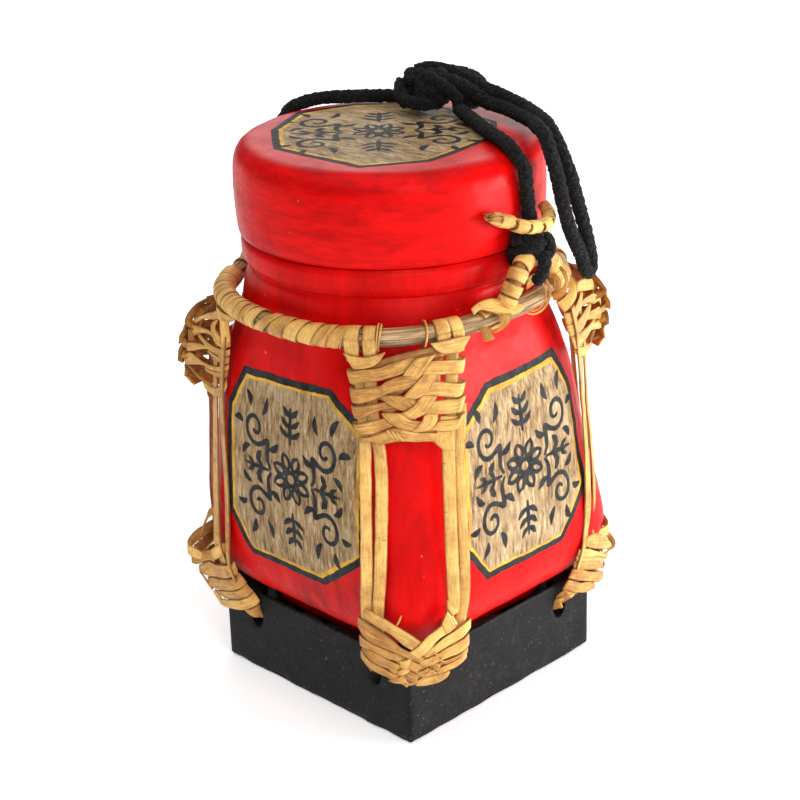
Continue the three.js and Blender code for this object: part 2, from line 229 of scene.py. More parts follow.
def coords(nt, scale=(1, 1, 1), rot=(0, 0, 0)):
    tc = nt.nodes.new("ShaderNodeTexCoord")
    mp = nt.nodes.new("ShaderNodeMapping")
    mp.inputs["Scale"].default_value = scale
    mp.inputs["Rotation"].default_value = rot
    nt.links.new(tc.outputs["Object"], mp.inputs["Vector"])
    return mp.outputs["Vector"]


def attr(nt, name):
    a = nt.nodes.new("ShaderNodeAttribute")
    a.attribute_name = name
    return a.outputs["Fac"]


def combine(nt, x, y, z):
    c = nt.nodes.new("ShaderNodeCombineXYZ")
    for k, v in zip("XYZ", (x, y, z)):
        if isinstance(v, (int, float)):
            c.inputs[k].default_value = v
        else:
            nt.links.new(v, c.inputs[k])
    return c.outputs[0]


def math_(nt, op, a, b=0.0, c=0.0, clamp=False):
    m = nt.nodes.new("ShaderNodeMath")
    m.operation = op
    m.use_clamp = clamp
    for i, v in enumerate((a, b, c)):
        if isinstance(v, (int, float)):
            m.inputs[i].default_value = v
        else:
            nt.links.new(v, m.inputs[i])
    return m.outputs[0]


def step_(nt, v, lo, hi):
    """0 below lo, 1 above hi."""
    m = nt.nodes.new("ShaderNodeMapRange")
    m.interpolation_type = 'SMOOTHSTEP'
    m.inputs["From Min"].default_value = lo
    m.inputs["From Max"].default_value = hi
    nt.links.new(v, m.inputs["Value"])
    return m.outputs[0]


def ramp(nt, fac, stops):
    r = nt.nodes.new("ShaderNodeValToRGB")
    nt.links.new(fac, r.inputs["Fac"])
    el = r.color_ramp.elements
    el[0].position, el[0].color = stops[0][0], stops[0][1]
    el[1].position, el[1].color = stops[-1][0], stops[-1][1]
    for p, c in stops[1:-1]:
        e = el.new(p)
        e.color = c
    return r.outputs["Color"]


def grey(nt, fac, lo, hi, a=0.0, b=1.0):
    return ramp(nt, fac, [(lo, (a, a, a, 1)), (hi, (b, b, b, 1))])


def mix(nt, fac, a, b, mode='MIX'):
    m = nt.nodes.new("ShaderNodeMix")
    m.data_type = 'RGBA'
    m.blend_type = mode
    for sock, val in ((m.inputs[0], fac), (m.inputs[6], a), (m.inputs[7], b)):
        if isinstance(val, (int, float, tuple)):
            sock.default_value = val
        else:
            nt.links.new(val, sock)
    return m.outputs[2]


def bump(nt, bsdf, layers):
    """layers of (height, strength, distance), one on the other."""
    normal = None
    for h, s, d in layers:
        b = nt.nodes.new("ShaderNodeBump")
        b.inputs["Strength"].default_value = s
        b.inputs["Distance"].default_value = d
        nt.links.new(h, b.inputs["Height"])
        if normal is not None:
            nt.links.new(normal, b.inputs["Normal"])
        normal = b.outputs["Normal"]
    nt.links.new(normal, bsdf.inputs["Normal"])


def lacquer(name, painted, grain):
    """Red lacquer, brushed and worn; painted adds the octagons from the mesh's sd and ink distances (mm)."""
    m, nt, b = mat(name)
    v = coords(nt)
    big = noise(nt, 16, 5, 0.6, v)
    red = ramp(nt, big, [(0.25, (0.60, 0.0012, 0.0016, 1)), (0.5, (0.76, 0.0025, 0.0025, 1)), (0.78, (0.84, 0.008, 0.007, 1))])
    # brush strokes in the lacquer
    fine = noise(nt, 60, 8, 0.68, coords(nt, grain), 0.4)
    red = mix(nt, grey(nt, fine, 0.38, 0.66, 0.0, 0.80), red, (0.40, 0.0012, 0.0014, 1))
    # dark rubbed streaks and smudges
    sm = noise(nt, 26, 9, 0.72, coords(nt, tuple(0.6 * g for g in grain)), 1.2)
    patch = noise(nt, 9, 3, 0.5, v)
    dark = math_(nt, 'MULTIPLY', step_(nt, sm, 0.52, 0.70), step_(nt, patch, 0.38, 0.62))
    red = mix(nt, math_(nt, 'MULTIPLY', dark, 0.9), red, (0.085, 0.006, 0.009, 1))
    # specks and nicks
    sp = noise(nt, 420, 2, 0.5, v)
    red = mix(nt, step_(nt, sp, 0.745, 0.77), red, (0.02, 0.006, 0.006, 1))
    sp2 = noise(nt, 300, 2, 0.5, coords(nt, (1.3, 1.1, 0.9)))
    red = mix(nt, step_(nt, sp2, 0.765, 0.785), red, (0.55, 0.22, 0.12, 1))
    rough = math_(nt, 'ADD', 0.24, math_(nt, 'MULTIPLY', fine, 0.24))
    col = red
    layers = [(noise(nt, 22, 4, 0.5, v), 0.30, 0.0016), (fine, 0.32, 0.0004)]
    if painted:
        sd, ink = attr(nt, "sd"), attr(nt, "ink")
        wob = math_(nt, 'SUBTRACT', noise(nt, 160, 4, 0.6, v), 0.5)
        wob2 = math_(nt, 'SUBTRACT', noise(nt, 55, 3, 0.6, v), 0.5)
        d = math_(nt, 'ADD', sd, math_(nt, 'ADD', math_(nt, 'MULTIPLY', wob, 1.5), math_(nt, 'MULTIPLY', wob2, 1.8)))
        # parchment field with fine brush grain
        gr = noise(nt, 620, 6, 0.78, coords(nt, painted))
        gr2 = noise(nt, 190, 6, 0.7, coords(nt, painted), 0.5)
        field = ramp(nt, gr, [(0.36, (0.085, 0.043, 0.018, 1)), (0.46, (0.29, 0.180, 0.085, 1)), (0.56, (0.46, 0.320, 0.165, 1)), (0.70, (0.72, 0.57, 0.36, 1))])
        field = mix(nt, math_(nt, 'MULTIPLY', step_(nt, gr2, 0.50, 0.66), 0.55), field, (0.21, 0.125, 0.058, 1))
        field = mix(nt, math_(nt, 'MULTIPLY', step_(nt, noise(nt, 30, 4, 0.6, v), 0.45, 0.7), 0.30), field, (0.66, 0.52, 0.32, 1))
        gold = ramp(nt, noise(nt, 120, 4, 0.6, v), [(0.35, (0.50, 0.25, 0.035, 1)), (0.6, (0.80, 0.46, 0.06, 1)), (0.75, (0.88, 0.62, 0.18, 1))])
        black = ramp(nt, noise(nt, 200, 4, 0.7, v), [(0.35, (0.012, 0.012, 0.013, 1)), (0.72, (0.050, 0.050, 0.052, 1))])
        d2 = math_(nt, 'ADD', d, math_(nt, 'MULTIPLY', math_(nt, 'SUBTRACT', noise(nt, 18, 2, 0.5, v), 0.5), 3.2))
        col = mix(nt, math_(nt, 'SUBTRACT', 1.0, step_(nt, d, -0.15, 0.15)), col, gold)
        col = mix(nt, math_(nt, 'SUBTRACT', 1.0, step_(nt, d2, -3.6, -2.7)), col, field)
        inkd = math_(nt, 'ADD', ink, math_(nt, 'MULTIPLY', wob, 0.9))
        inkm = math_(nt, 'SUBTRACT', 1.0, step_(nt, inkd, 0.02, 0.46))
        col = mix(nt, inkm, col, black)
        edge = math_(nt, 'MULTIPLY', math_(nt, 'SUBTRACT', 1.0, step_(nt, d, 1.35, 1.65)), step_(nt, d, -1.75, -1.45))
        col = mix(nt, edge, col, black)
        inside = math_(nt, 'SUBTRACT', 1.0, step_(nt, d, 1.2, 1.6))
        rough = math_(nt, 'ADD', rough, math_(nt, 'MULTIPLY', inside, 0.18))
        layers.append((math_(nt, 'MULTIPLY', gr, inside), 0.35, 0.0004))
        layers.append((math_(nt, 'MAXIMUM', inkm, edge), 0.35, 0.00025))
    nt.links.new(col, b.inputs["Base Color"])
    nt.links.new(rough, b.inputs["Roughness"])
    b.inputs["Specular IOR Level"].default_value = 0.075
    bump(nt, b, layers)
    return m


def black_wood():
    m, nt, b = mat("black_wood")
    v = coords(nt)
    n1 = noise(nt, 110, 8, 0.75, v)
    col = ramp(nt, n1, [(0.33, (0.0045, 0.0045, 0.005, 1)), (0.55, (0.0105, 0.0102, 0.0108, 1)), (0.75, (0.028, 0.027, 0.0265, 1))])
    spk = noise(nt, 820, 3, 0.6, v)
    col = mix(nt, math_(nt, 'MULTIPLY', step_(nt, spk, 0.62, 0.72), 0.75), col, (0.115, 0.105, 0.095, 1))
    gold = noise(nt, 620, 2, 0.5, coords(nt, (1.1, 0.9, 1.0)))
    col = mix(nt, math_(nt, 'MULTIPLY', step_(nt, gold, 0.70, 0.74), step_(nt, noise(nt, 40, 2, 0.5, v), 0.40, 0.62)), col, (0.20, 0.145, 0.075, 1))
    blue = noise(nt, 300, 1, 0.4, coords(nt, (0.8, 1.2, 1.3)))
    col = mix(nt, step_(nt, blue, 0.785, 0.80), col, (0.06, 0.08, 0.10, 1))
    geo = nt.nodes.new("ShaderNodeNewGeometry")
    worn = math_(nt, 'MULTIPLY', step_(nt, geo.outputs["Pointiness"], 0.53, 0.60), step_(nt, n1, 0.42, 0.62))
    col = mix(nt, math_(nt, 'MULTIPLY', worn, 0.5), col, (0.13, 0.115, 0.10, 1))
    nt.links.new(col, b.inputs["Base Color"])
    nt.links.new(math_(nt, 'ADD', 0.46, math_(nt, 'MULTIPLY', n1, 0.25)), b.inputs["Roughness"])
    b.inputs["Specular IOR Level"].default_value = 0.14
    bump(nt, b, [(noise(nt, 30, 4, 0.5, v), 0.25, 0.001), (n1, 0.5, 0.0005), (spk, 0.5, 0.0002)])
    return m


def strip_mat(name, dark, lo, mid, hi, rough=0.42, fibre=900.0):
    """Split rattan: long fibres along the strip, blotches, dark edges that are partly painted shade between strips, a
    tone of its own for each strip.
    """
    m, nt, b = mat(name)
    al, ac, tn = attr(nt, "along"), attr(nt, "across"), attr(nt, "tone")
    vec = combine(nt, al, math_(nt, 'MULTIPLY', ac, 0.0028), math_(nt, 'MULTIPLY', tn, 1.7))
    long_ = nt.nodes.new("ShaderNodeMapping")
    long_.inputs["Scale"].default_value = (0.07, 1.0, 1.0)
    nt.links.new(vec, long_.inputs["Vector"])
    fib = noise(nt, fibre * 2.2, 6, 0.7, long_.outputs[0])
    blot = noise(nt, 110, 5, 0.65, vec)
    fine = noise(nt, 1400, 3, 0.6, coords(nt))
    base = ramp(nt, math_(nt, 'ADD', math_(nt, 'MULTIPLY', blot, 0.62), math_(nt, 'MULTIPLY', tn, 0.38)),
                [(0.30, lo), (0.50, mid), (0.72, hi)])
    # low-tone strips get more stains and dark fibres; on far and tucked strips that low tone is painted shade,
    # elsewhere it is dirt
    dirt_and_shade = math_(nt, 'SUBTRACT', 1.12, math_(nt, 'MULTIPLY', tn, 0.75))
    col = mix(nt, math_(nt, 'MULTIPLY', grey(nt, fib, 0.34, 0.54, 0.88, 0.0), dirt_and_shade), base, dark)
    pale = noise(nt, fibre * 1.3, 5, 0.7, long_.outputs[0])
    col = mix(nt, math_(nt, 'MULTIPLY', step_(nt, pale, 0.50, 0.70), 0.55), col, hi)
    col = mix(nt, math_(nt, 'MULTIPLY', math_(nt, 'MULTIPLY', step_(nt, fine, 0.57, 0.72), 0.50), dirt_and_shade), col, dark)
    # short cracks across the fibres
    cross = nt.nodes.new("ShaderNodeMapping")
    cross.inputs["Scale"].default_value = (1.0, 0.22, 1.0)
    nt.links.new(vec, cross.inputs["Vector"])
    crk = math_(nt, 'MULTIPLY', step_(nt, noise(nt, 1500, 2, 0.5, cross.outputs[0]), 0.66, 0.72), step_(nt, noise(nt, 90, 2, 0.5, vec), 0.50, 0.62))
    col = mix(nt, math_(nt, 'MULTIPLY', crk, 0.75), col, (0.09, 0.030, 0.008, 1))
    # stains in patches, and darker edges: the cut edge's own colour together with painted shade in the gaps between
    # strips
    st = noise(nt, 62, 6, 0.7, coords(nt))
    col = mix(nt, math_(nt, 'MULTIPLY', step_(nt, st, 0.50, 0.68), math_(nt, 'MULTIPLY', dirt_and_shade, 0.95)), col, (0.27, 0.105, 0.022, 1))
    e = math_(nt, 'ABSOLUTE', ac)
    col = mix(nt, math_(nt, 'MULTIPLY', step_(nt, e, 0.78, 1.0), 0.72), col, dark)
    nt.links.new(col, b.inputs["Base Color"])
    nt.links.new(math_(nt, 'ADD', rough, math_(nt, 'MULTIPLY', fib, 0.2)), b.inputs["Roughness"])
    b.inputs["Specular IOR Level"].default_value = 0.28
    b.inputs["Subsurface Weight"].default_value = 0.05
    b.inputs["Subsurface Radius"].default_value = (0.0015, 0.001, 0.0006)
    b.inputs["Subsurface Scale"].default_value = 1.0
    bump(nt, b, [(fib, 0.45, 0.00025), (blot, 0.2, 0.0003)])
    return m


def cane_mat():
    """Bare cane: greyish brown with long dark and pale fibres."""
    m, nt, b = mat("cane")
    al, ac = attr(nt, "along"), attr(nt, "across")
    ang = math_(nt, 'MULTIPLY', ac, math.pi)
    vec = combine(nt, math_(nt, 'MULTIPLY', al, 0.05), math_(nt, 'MULTIPLY', math_(nt, 'COSINE', ang), 0.0037), math_(nt, 'MULTIPLY', math_(nt, 'SINE', ang), 0.0037))
    fib = noise(nt, 900, 6, 0.7, vec)
    fib2 = noise(nt, 330, 4, 0.6, vec)
    col = ramp(nt, fib, [(0.36, (0.045, 0.022, 0.008, 1)), (0.46, (0.28, 0.155, 0.060, 1)), (0.55, (0.50, 0.32, 0.145, 1)), (0.70, (0.74, 0.56, 0.32, 1))])
    col = mix(nt, math_(nt, 'MULTIPLY', step_(nt, fib2, 0.52, 0.64), 0.6), col, (0.09, 0.050, 0.024, 1))
    nt.links.new(col, b.inputs["Base Color"])
    b.inputs["Roughness"].default_value = 0.6
    bump(nt, b, [(fib, 0.9, 0.0005), (fib2, 0.6, 0.0006)])
    return m


def cord_mat():
    m, nt, b = mat("black_cord")
    v = coords(nt)
    n = noise(nt, 1300, 4, 0.75, v)
    col = ramp(nt, n, [(0.38, (0.0020, 0.0020, 0.0024, 1)), (0.56, (0.0085, 0.008, 0.0085, 1)), (0.72, (0.085, 0.072, 0.066, 1))])
    nt.links.new(col, b.inputs["Base Color"])
    b.inputs["Roughness"].default_value = 0.92
    b.inputs["Specular IOR Level"].default_value = 0.12
    b.inputs["Sheen Weight"].default_value = 0.04
    b.inputs["Sheen Roughness"].default_value = 0.6
    bump(nt, b, [(n, 0.9, 0.0006), (noise(nt, 420, 3, 0.6, v), 0.7, 0.0008)])
    return m


def bare_wood():
    m, nt, b = mat("bare_wood")
    v = coords(nt, (1, 1, 0.18))
    n = noise(nt, 300, 7, 0.65, v, 0.3)
    col = ramp(nt, n, [(0.3, (0.11, 0.045, 0.02, 1)), (0.52, (0.27, 0.13, 0.06, 1)), (0.75, (0.42, 0.24, 0.12, 1))])
    nt.links.new(mix(nt, math_(nt, 'MULTIPLY', step_(nt, noise(nt, 24, 4, 0.6, coords(nt)), 0.5, 0.7), 0.4), col, (0.09, 0.035, 0.018, 1)), b.inputs["Base Color"])
    b.inputs["Roughness"].default_value = 0.6
    bump(nt, b, [(n, 0.4, 0.0004)])
    return m


TAN = strip_mat("split_rattan", (0.12, 0.038, 0.008, 1), (0.37, 0.150, 0.034, 1), (0.64, 0.315, 0.078, 1), (0.95, 0.60, 0.175, 1))
M = {
    "body": lacquer("red_lacquer", (1.0, 1.0, 0.16), (1.0, 1.0, 0.22)),
    "lid": lacquer("red_lacquer_lid", (0.25, 1.0, 1.0), (0.9, 0.9, 4.0)),
    "black": black_wood(), "wood": bare_wood(), "cord": cord_mat(), "rattan": TAN, "cane": cane_mat(),
}


# ------------------------------------------------------------------ turned wood
BODY = [
    (32.7, 48.3, 1.22), (38.7, 49.4, 1.22), (40.6, 52.6, 1.25), (43.5, 57.4, 1.27), (48.0, 61.0, 1.29), (54.0, 63.8, 1.30),
    (61.0, 65.6, 1.305), (68.0, 66.5, 1.288), (76.0, 66.9, 1.263), (86.0, 66.9, 1.235), (100.0, 66.7, 1.202),
    (114.0, 66.2, 1.180), (127.0, 65.4, 1.168), (138.0, 64.0, 1.160), (147.0, 62.5, 1.148), (156.0, 61.0, 1.127),
    (165.0, 59.6, 1.092), (174.0, 59.1, 1.062), (181.0, 59.4, 1.035), (186.5, 59.4, 1.006), (188.5, 58.6, 1.0),
    (190.2, 60.8, 1.0), (194.0, 62.2, 1.0), (198.6, 62.2, 1.0), (200.6, 61.3, 1.0)]
LEAN = [(32, 0.4), (60, 1.1), (86, 0.3), (104, -0.5), (127, -1.2), (165, -1.6), (400, -1.6)]
AXIS = -1.6
HALF, BASE_H = 57.4, 38.4


def pchip(xs, ys, x):
    """Smooth curve through the table without overshoot."""
    xs, ys = np.asarray(xs, float), np.asarray(ys, float)
    h = np.diff(xs)
    d = np.diff(ys) / h
    m = np.zeros_like(ys)
    for i in range(1, len(xs) - 1):
        if d[i - 1] * d[i] > 0:
            w1, w2 = 2 * h[i] + h[i - 1], h[i] + 2 * h[i - 1]
            m[i] = (w1 + w2) / (w1 / d[i - 1] + w2 / d[i])
    m[0], m[-1] = d[0], d[-1]
    x = np.clip(x, xs[0], xs[-1])
    k = np.clip(np.searchsorted(xs, x, side='right') - 1, 0, len(h) - 1)
    t = (x - xs[k]) / h[k]
    return ((2 * t**3 - 3 * t**2 + 1) * ys[k] + (t**3 - 2 * t**2 + t) * h[k] * m[k] + (-2 * t**3 + 3 * t**2) * ys[k + 1] + (t**3 - t**2) * h[k] * m[k + 1])


BZ, BA, BQ = [np.array(c) for c in zip(*BODY)]
LZ, LV = [np.array(c) for c in zip(*LEAN)]


def lean(z):
    return pchip(LZ, LV, np.asarray(z, float))


def square(theta, q):
    q = np.maximum(q, 1.0006)
    c0, s0 = np.abs(np.cos(theta)), np.abs(np.sin(theta))
    c, s = np.maximum(c0, s0), np.minimum(c0, s0)
    rc = (math.sqrt(2) - q) / (math.sqrt(2) - 1)
    k = 1 - rc
    d = k * (c + s)
    flat = np.where(s / c <= k, 1 / c, d + np.sqrt(np.maximum(0, d * d - (2 * k * k - rc * rc))))
    n = 1 / np.maximum(0.06, 0.5 - np.log2(q))
    return 0.5 * (flat + (c**n + s**n) ** (-1 / n))


def body_radius(theta, z):
    return pchip(BZ, BA, z) * square(theta, pchip(BZ, BQ, z))


def polygon_distance(P, poly):
    """Signed distance of points (n, 2) to a polygon: negative inside."""
    poly = np.array(poly, float)
    best = np.full(len(P), 1e9)
    inside = np.zeros(len(P), bool)
    for i in range(len(poly)):
        a, b = poly[i - 1], poly[i]
        ab = b - a
        t = np.clip(((P - a) @ ab) / (ab @ ab), 0, 1)
        best = np.minimum(best, np.linalg.norm(P - a - t[:, None] * ab, axis=1))
        hit = (a[1] > P[:, 1]) != (b[1] > P[:, 1])
        with np.errstate(divide='ignore', invalid='ignore'):
            x = (b[0] - a[0]) * (P[:, 1] - a[1]) / (b[1] - a[1]) + a[0]
        inside ^= hit & (P[:, 0] < x)
    return np.where(inside, -best, best)


def brush_distance(P, strokes):
    """Distance of points to the edge of brush strokes, rows of (x, y, half width)."""
    best = np.full(len(P), 30.0)
    for S in strokes:
        S = np.array(S, float)
        for a, b in zip(S, S[1:]):
            lo, hi = np.minimum(a[:2], b[:2]) - 4, np.maximum(a[:2], b[:2]) + 4
            k = np.nonzero(((P > lo) & (P < hi)).all(axis=1))[0]
            if not len(k):
                continue
            ab = b[:2] - a[:2]
            t = np.clip(((P[k] - a[:2]) @ ab) / max(ab @ ab, 1e-9), 0, 1)
            d = np.linalg.norm(P[k] - a[:2] - t[:, None] * ab, axis=1) - (a[2] + (b[2] - a[2]) * t)
            best[k] = np.minimum(best[k], d)
    return best


def curve2(pts, n=10):
    """Brush stroke through points (x, y, half width)."""
    R = spline([(x, y, 0, w) for x, y, w in pts], 1.0)
    return [(r[0], r[1], max(0.12, r[3])) for r in R]


def ornament(sx=1.0, sy=1.0):
    """A rosette among leafy scrolls, the same on the left and right and at top and foot."""
    out = []

    def add(pts):
        for mx in (1, -1):
            for my in (1, -1):
                out.append(curve2([(x * mx * sx, y * my * sy, w) for x, y, w in pts]))

    # rosette
    for k in range(8):
        a = k * math.pi / 4 + math.pi / 8
        c, s = math.cos(a), math.sin(a)
        leaf = [(4.0, 0.0, 0.5), (6.2, 1.9, 0.75), (9.0, 1.7, 0.7), (11.2, 0.0, 0.35)]
        for m in (1, -1):
            out.append(curve2([(x * c - y * m * s, x * s + y * m * c, w) for x, y, w in leaf]))
    ring = [(3.0 * math.cos(t), 3.0 * math.sin(t), 0.8) for t in np.linspace(0, 2 * math.pi, 13)]
    out.append(curve2(ring))
    # scroll that starts beside the rosette and rolls into each corner
    spiral = []
    for i in range(15):
        t = i / 14
        a = math.radians(-165 + 470 * t)
        r = 7.6 * (1 - 0.80 * t)
        spiral.append((22.5 + r * math.cos(a), 15.5 + r * math.sin(a), 0.95 - 0.35 * t))
    add([(13.2, 0.9, 0.45), (15.0, 3.4, 0.8), (15.0, 8.0, 1.0), (14.6, 11.6, 1.0)] + spiral[1:])
    # leaves along the scroll
    for x, y, a, L in ((13.8, 8.4, 150, 6.6), (17.4, 21.6, 110, 7.0), (25.8, 23.4, 62, 6.4), (31.0, 16.0, 8, 5.4), (27.0, 7.4, -42, 6.2), (19.5, 6.4, -70, 4.6)):
        c, s = math.cos(math.radians(a)), math.sin(math.radians(a))
        add([(x, y, 0.35), (x + 0.45 * L * c - 0.9 * s, y + 0.45 * L * s + 0.9 * c, 1.35), (x + L * c, y + L * s, 0.2)])
    # sprigs above, below and beside the rosette
    for my in (1, -1):
        out.append(curve2([(0, 14.0 * my * sy, 0.5), (0, 20 * my * sy, 0.9), (0, 27.5 * my * sy, 0.3)]))
        for mx in (1, -1):
            for y, L in ((16.5, 6.2), (20.5, 5.6), (24.5, 4.4)):
                out.append(curve2([(0.4 * mx, y * my * sy, 0.4), (L * 0.55 * mx, (y + 1.2) * my * sy, 1.1), (L * 0.98 * mx * sx, (y + 3.2) * my * sy, 0.2)]))
    for mx in (1, -1):
        out.append(curve2([(14.6 * mx * sx, 0, 0.4), (21 * mx * sx, 0, 0.85), (31 * mx * sx, 0, 0.3)]))
        for my in (1, -1):
            for x, L in ((19.0, 4.4), (24.5, 3.8)):
                out.append(curve2([(x * mx * sx, 0.3 * my, 0.35), ((x + 1.6) * mx * sx, L * 0.5 * my, 0.95), ((x + 4.0) * mx * sx, L * 0.86 * my, 0.2)]))
    return out


# outlines of the painted octagons, (along the face, height) in mm
PANEL_FRONT = [(-27.6, 147.8), (23.1, 150.8), (42.1, 135.9), (41.2, 83.8), (17.0, 65.1), (-27.5, 64.6), (-38.8, 82.9), (-36.7, 131.7)]
PANEL_RIGHT = [(-11.6, 148.0), (30.8, 149.6), (39.3, 134.8), (42.6, 87.9), (26.7, 67.5), (-19.5, 67.2), (-32.0, 83.9), (-30.2, 134.1)]
PANEL_BACK = [(-26.0, 149.0), (25.0, 150.0), (40.5, 135.0), (41.5, 84.5), (23.0, 66.0), (-25.0, 65.5), (-39.5, 83.5), (-38.0, 133.0)]
LID_PANEL = [(-42, -27), (-20, -46.3), (24.4, -43.3), (39.9, -20), (36, 18.5), (20, 39), (-24, 43.0), (-46.7, 22.9), (-54.3, -1.6)]


def grid_mesh(name, V, closed_u, sd=None, ink=None):
    """V is (rows, columns, 3) in mm, columns going round."""
    k, m = V.shape[:2]
    F = []
    for i in range(k - 1):
        for j in range(m if closed_u else m - 1):
            j2 = (j + 1) % m
            F.append((i * m + j, i * m + j2, (i + 1) * m + j2, (i + 1) * m + j))
    F.append(tuple(reversed(range(m))))
    F.append(tuple((k - 1) * m + j for j in range(m)))
    me = bpy.data.meshes.new(name)
    me.from_pydata([tuple(p) for p in V.reshape(-1, 3) * MM], [], F)
    for nm, data in (("sd", sd), ("ink", ink)):
        if data is not None:
            at = me.attributes.new(nm, 'FLOAT', 'POINT')
            at.data.foreach_set("value", data.reshape(-1).astype(np.float32))
    me.polygons.foreach_set("use_smooth", [True] * (len(me.polygons) - 2) + [False] * 2)
    me.update()
    ob = bpy.data.objects.new(name, me)
    bpy.context.scene.collection.objects.link(ob)
    return ob


def field(x, y, z, s=0.02):
    return mnoise.fractal(Vector((x * s, y * s, z * s)), 1.0, 2.0, 3)


def jar_body():
    m = 560
    th = (np.arange(m) + 0.5) / m * 2 * math.pi
    zs = np.concatenate([[32.7, 35, 38.0, 38.9], np.arange(39.7, 62, 0.9), np.arange(62, 153, 0.78), np.arange(153.5, 186, 1.3),
                         [186.6, 187.4, 188.1, 188.6, 189.1, 189.7, 190.4, 191.2, 192.4, 194, 196, 198, 199.2, 200.1, 200.5]])
    rows = []
    for z in zs:
        r = body_radius(th, np.full(m, z))
        if z > 199:
            r = r - 0.25 * (z - 199)
        l = float(lean(z))
        x, y = r * np.cos(th), r * np.sin(th)
        w = np.array([field(a, b, z, 0.030) + 0.35 * field(a, b, z * 1.0, 0.11) for a, b in zip(x, y)])
        r2 = r + (w * 0.55 if z > 40 else 0) - 0.15
        rows.append(np.stack([r2 * np.cos(th) + l, r2 * np.sin(th) + l, np.full(m, z)], axis=1))
    n_out = len(rows)
    # over the lip and down the hollow
    for r, z in ((60.6, 200.9), (58.5, 201.0), (56.0, 201.0), (55.2, 200.6), (55.0, 199.5), (55.0, 187), (55.4, 178), (55.6, 163)):
        rows.append(np.stack([r * np.cos(th) + AXIS, r * np.sin(th) + AXIS, np.full(m, float(z))], axis=1))
    for z in (147, 125, 100, 84, 62, 50):
        a = min(float(pchip(BZ, BA, z)) - 6, 56 + (180 - z) * 0.1)
        q = 1 + (float(pchip(BZ, BQ, z)) - 1) * 0.9
        r = a * square(th, np.full(m, q))
        l = float(lean(z))
        rows.append(np.stack([r * np.cos(th) + l, r * np.sin(th) + l, np.full(m, float(z))], axis=1))
    for s, z in ((0.96, 45), (0.85, 43.4), (0.4, 43.0), (0.05, 43.0)):
        r = 53 * square(th, np.full(m, 1.2)) * s
        rows.append(np.stack([r * np.cos(th) + 1.0, r * np.sin(th) + 1.0, np.full(m, float(z))], axis=1))
    V = np.array(rows)
    P = V.reshape(-1, 3)
    sd, ink = np.full(len(P), 30.0), np.full(len(P), 30.0)
    outer = np.arange(len(P)) < n_out * m
    orn = ornament(0.94, 1.12)
    for axis, sign, panel in ((1, -1, PANEL_FRONT), (0, 1, PANEL_RIGHT), (1, 1, PANEL_BACK), (0, -1, PANEL_BACK)):
        other = 1 - axis
        k = np.nonzero(outer & (P[:, axis] * sign > np.abs(P[:, other]) * 0.98))[0]
        u = P[k, other] * (1 if (axis, sign) in ((1, -1), (0, 1)) else -1)
        Q = np.stack([u, P[k, 2]], axis=1)
        sd[k] = polygon_distance(Q, panel)
        poly = np.array(panel)
        cx, cz = (poly[:, 0].min() + poly[:, 0].max()) / 2, (poly[:, 1].min() + poly[:, 1].max()) / 2
        ink[k] = brush_distance(Q - [cx, cz], orn)
    ob = grid_mesh("jar_body", V, True, sd.reshape(V.shape[:2]), ink.reshape(V.shape[:2]))
    return ob, n_out


def jar_lid():
    m = 448
    th = (np.arange(m) + 0.5) / m * 2 * math.pi
    R, Z0, Z1 = 64.2, 201.6, 239.4
    prof = [(0.4, Z1), *[(r, Z1 - 0.25 * (r / 56) ** 4) for r in np.arange(1.2, 55.5, 0.78)], (56.4, Z1 - 0.45), (57.8, Z1 - 0.8), (59.0, Z1 - 1.25), (60.2, Z1 - 1.9),
            (61.3, Z1 - 2.8), (62.2, Z1 - 3.9), (62.9, Z1 - 5.2), (63.4, Z1 - 6.8), (63.8, Z1 - 9), (64.05, Z1 - 12), (R, Z0 + 20), (R, Z0 + 15),
            (64.05, Z0 + 10), (63.7, Z0 + 5), (63.3, Z0 + 2.2), (62.9, Z0 + 1.0), (62.2, Z0 + 0.3), (61.4, Z0 + 0.05), (60.5, Z0), (56.2, Z0), (55.4, Z0 + 0.6),
            (55.2, Z0 + 2), (55.2, Z1 - 16), (54.5, Z1 - 13), (52, Z1 - 10.2), (48, Z1 - 9), (30, Z1 - 8.4), (0.4, Z1 - 8)]
    rows = []
    for r, z in prof:
        x, y = r * np.cos(th), r * np.sin(th)
        if 50 < r and z > Z0 + 1:
            w = np.array([field(a, b, z + 300, 0.028) + 0.35 * field(a, b, z, 0.12) for a, b in zip(x, y)]) * 0.5
        else:
            w = 0
        rr = r + (w - 0.1 if r > 50 and z > Z0 else 0)
        dz = np.array([field(a, b, 77, 0.03) for a, b in zip(x, y)]) * 0.22 - 0.15 if z > Z1 - 3 else 0
        rows.append(np.stack([rr * np.cos(th) + AXIS, rr * np.sin(th) + AXIS, z + dz + np.zeros(m)], axis=1))
    V = np.array(rows)[:, ::-1]
    P = V.reshape(-1, 3)
    sd, ink = np.full(len(P), 30.0), np.full(len(P), 30.0)
    k = np.nonzero(P[:, 2] > Z1 - 3)[0]
    sd[k] = polygon_distance(P[k, :2], LID_PANEL)
    c, s = math.cos(math.radians(45)), math.sin(math.radians(45))
    Q = P[k, :2] - [-6.5, -2.0]
    Q = np.stack([Q[:, 0] * c + Q[:, 1] * s, -Q[:, 0] * s + Q[:, 1] * c], axis=1)
    ink[k] = brush_distance(Q, ornament(1.15, 1.08))
    return grid_mesh("jar_lid", V, True, sd.reshape(V.shape[:2]), ink.reshape(V.shape[:2]))


ob, _ = jar_body()
ob.data.materials.append(M["body"])
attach(ob, "root")
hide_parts("body_shell")
ob = jar_lid()
ob.data.materials.append(M["lid"])
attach(ob, "lid")
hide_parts("lid_shell")


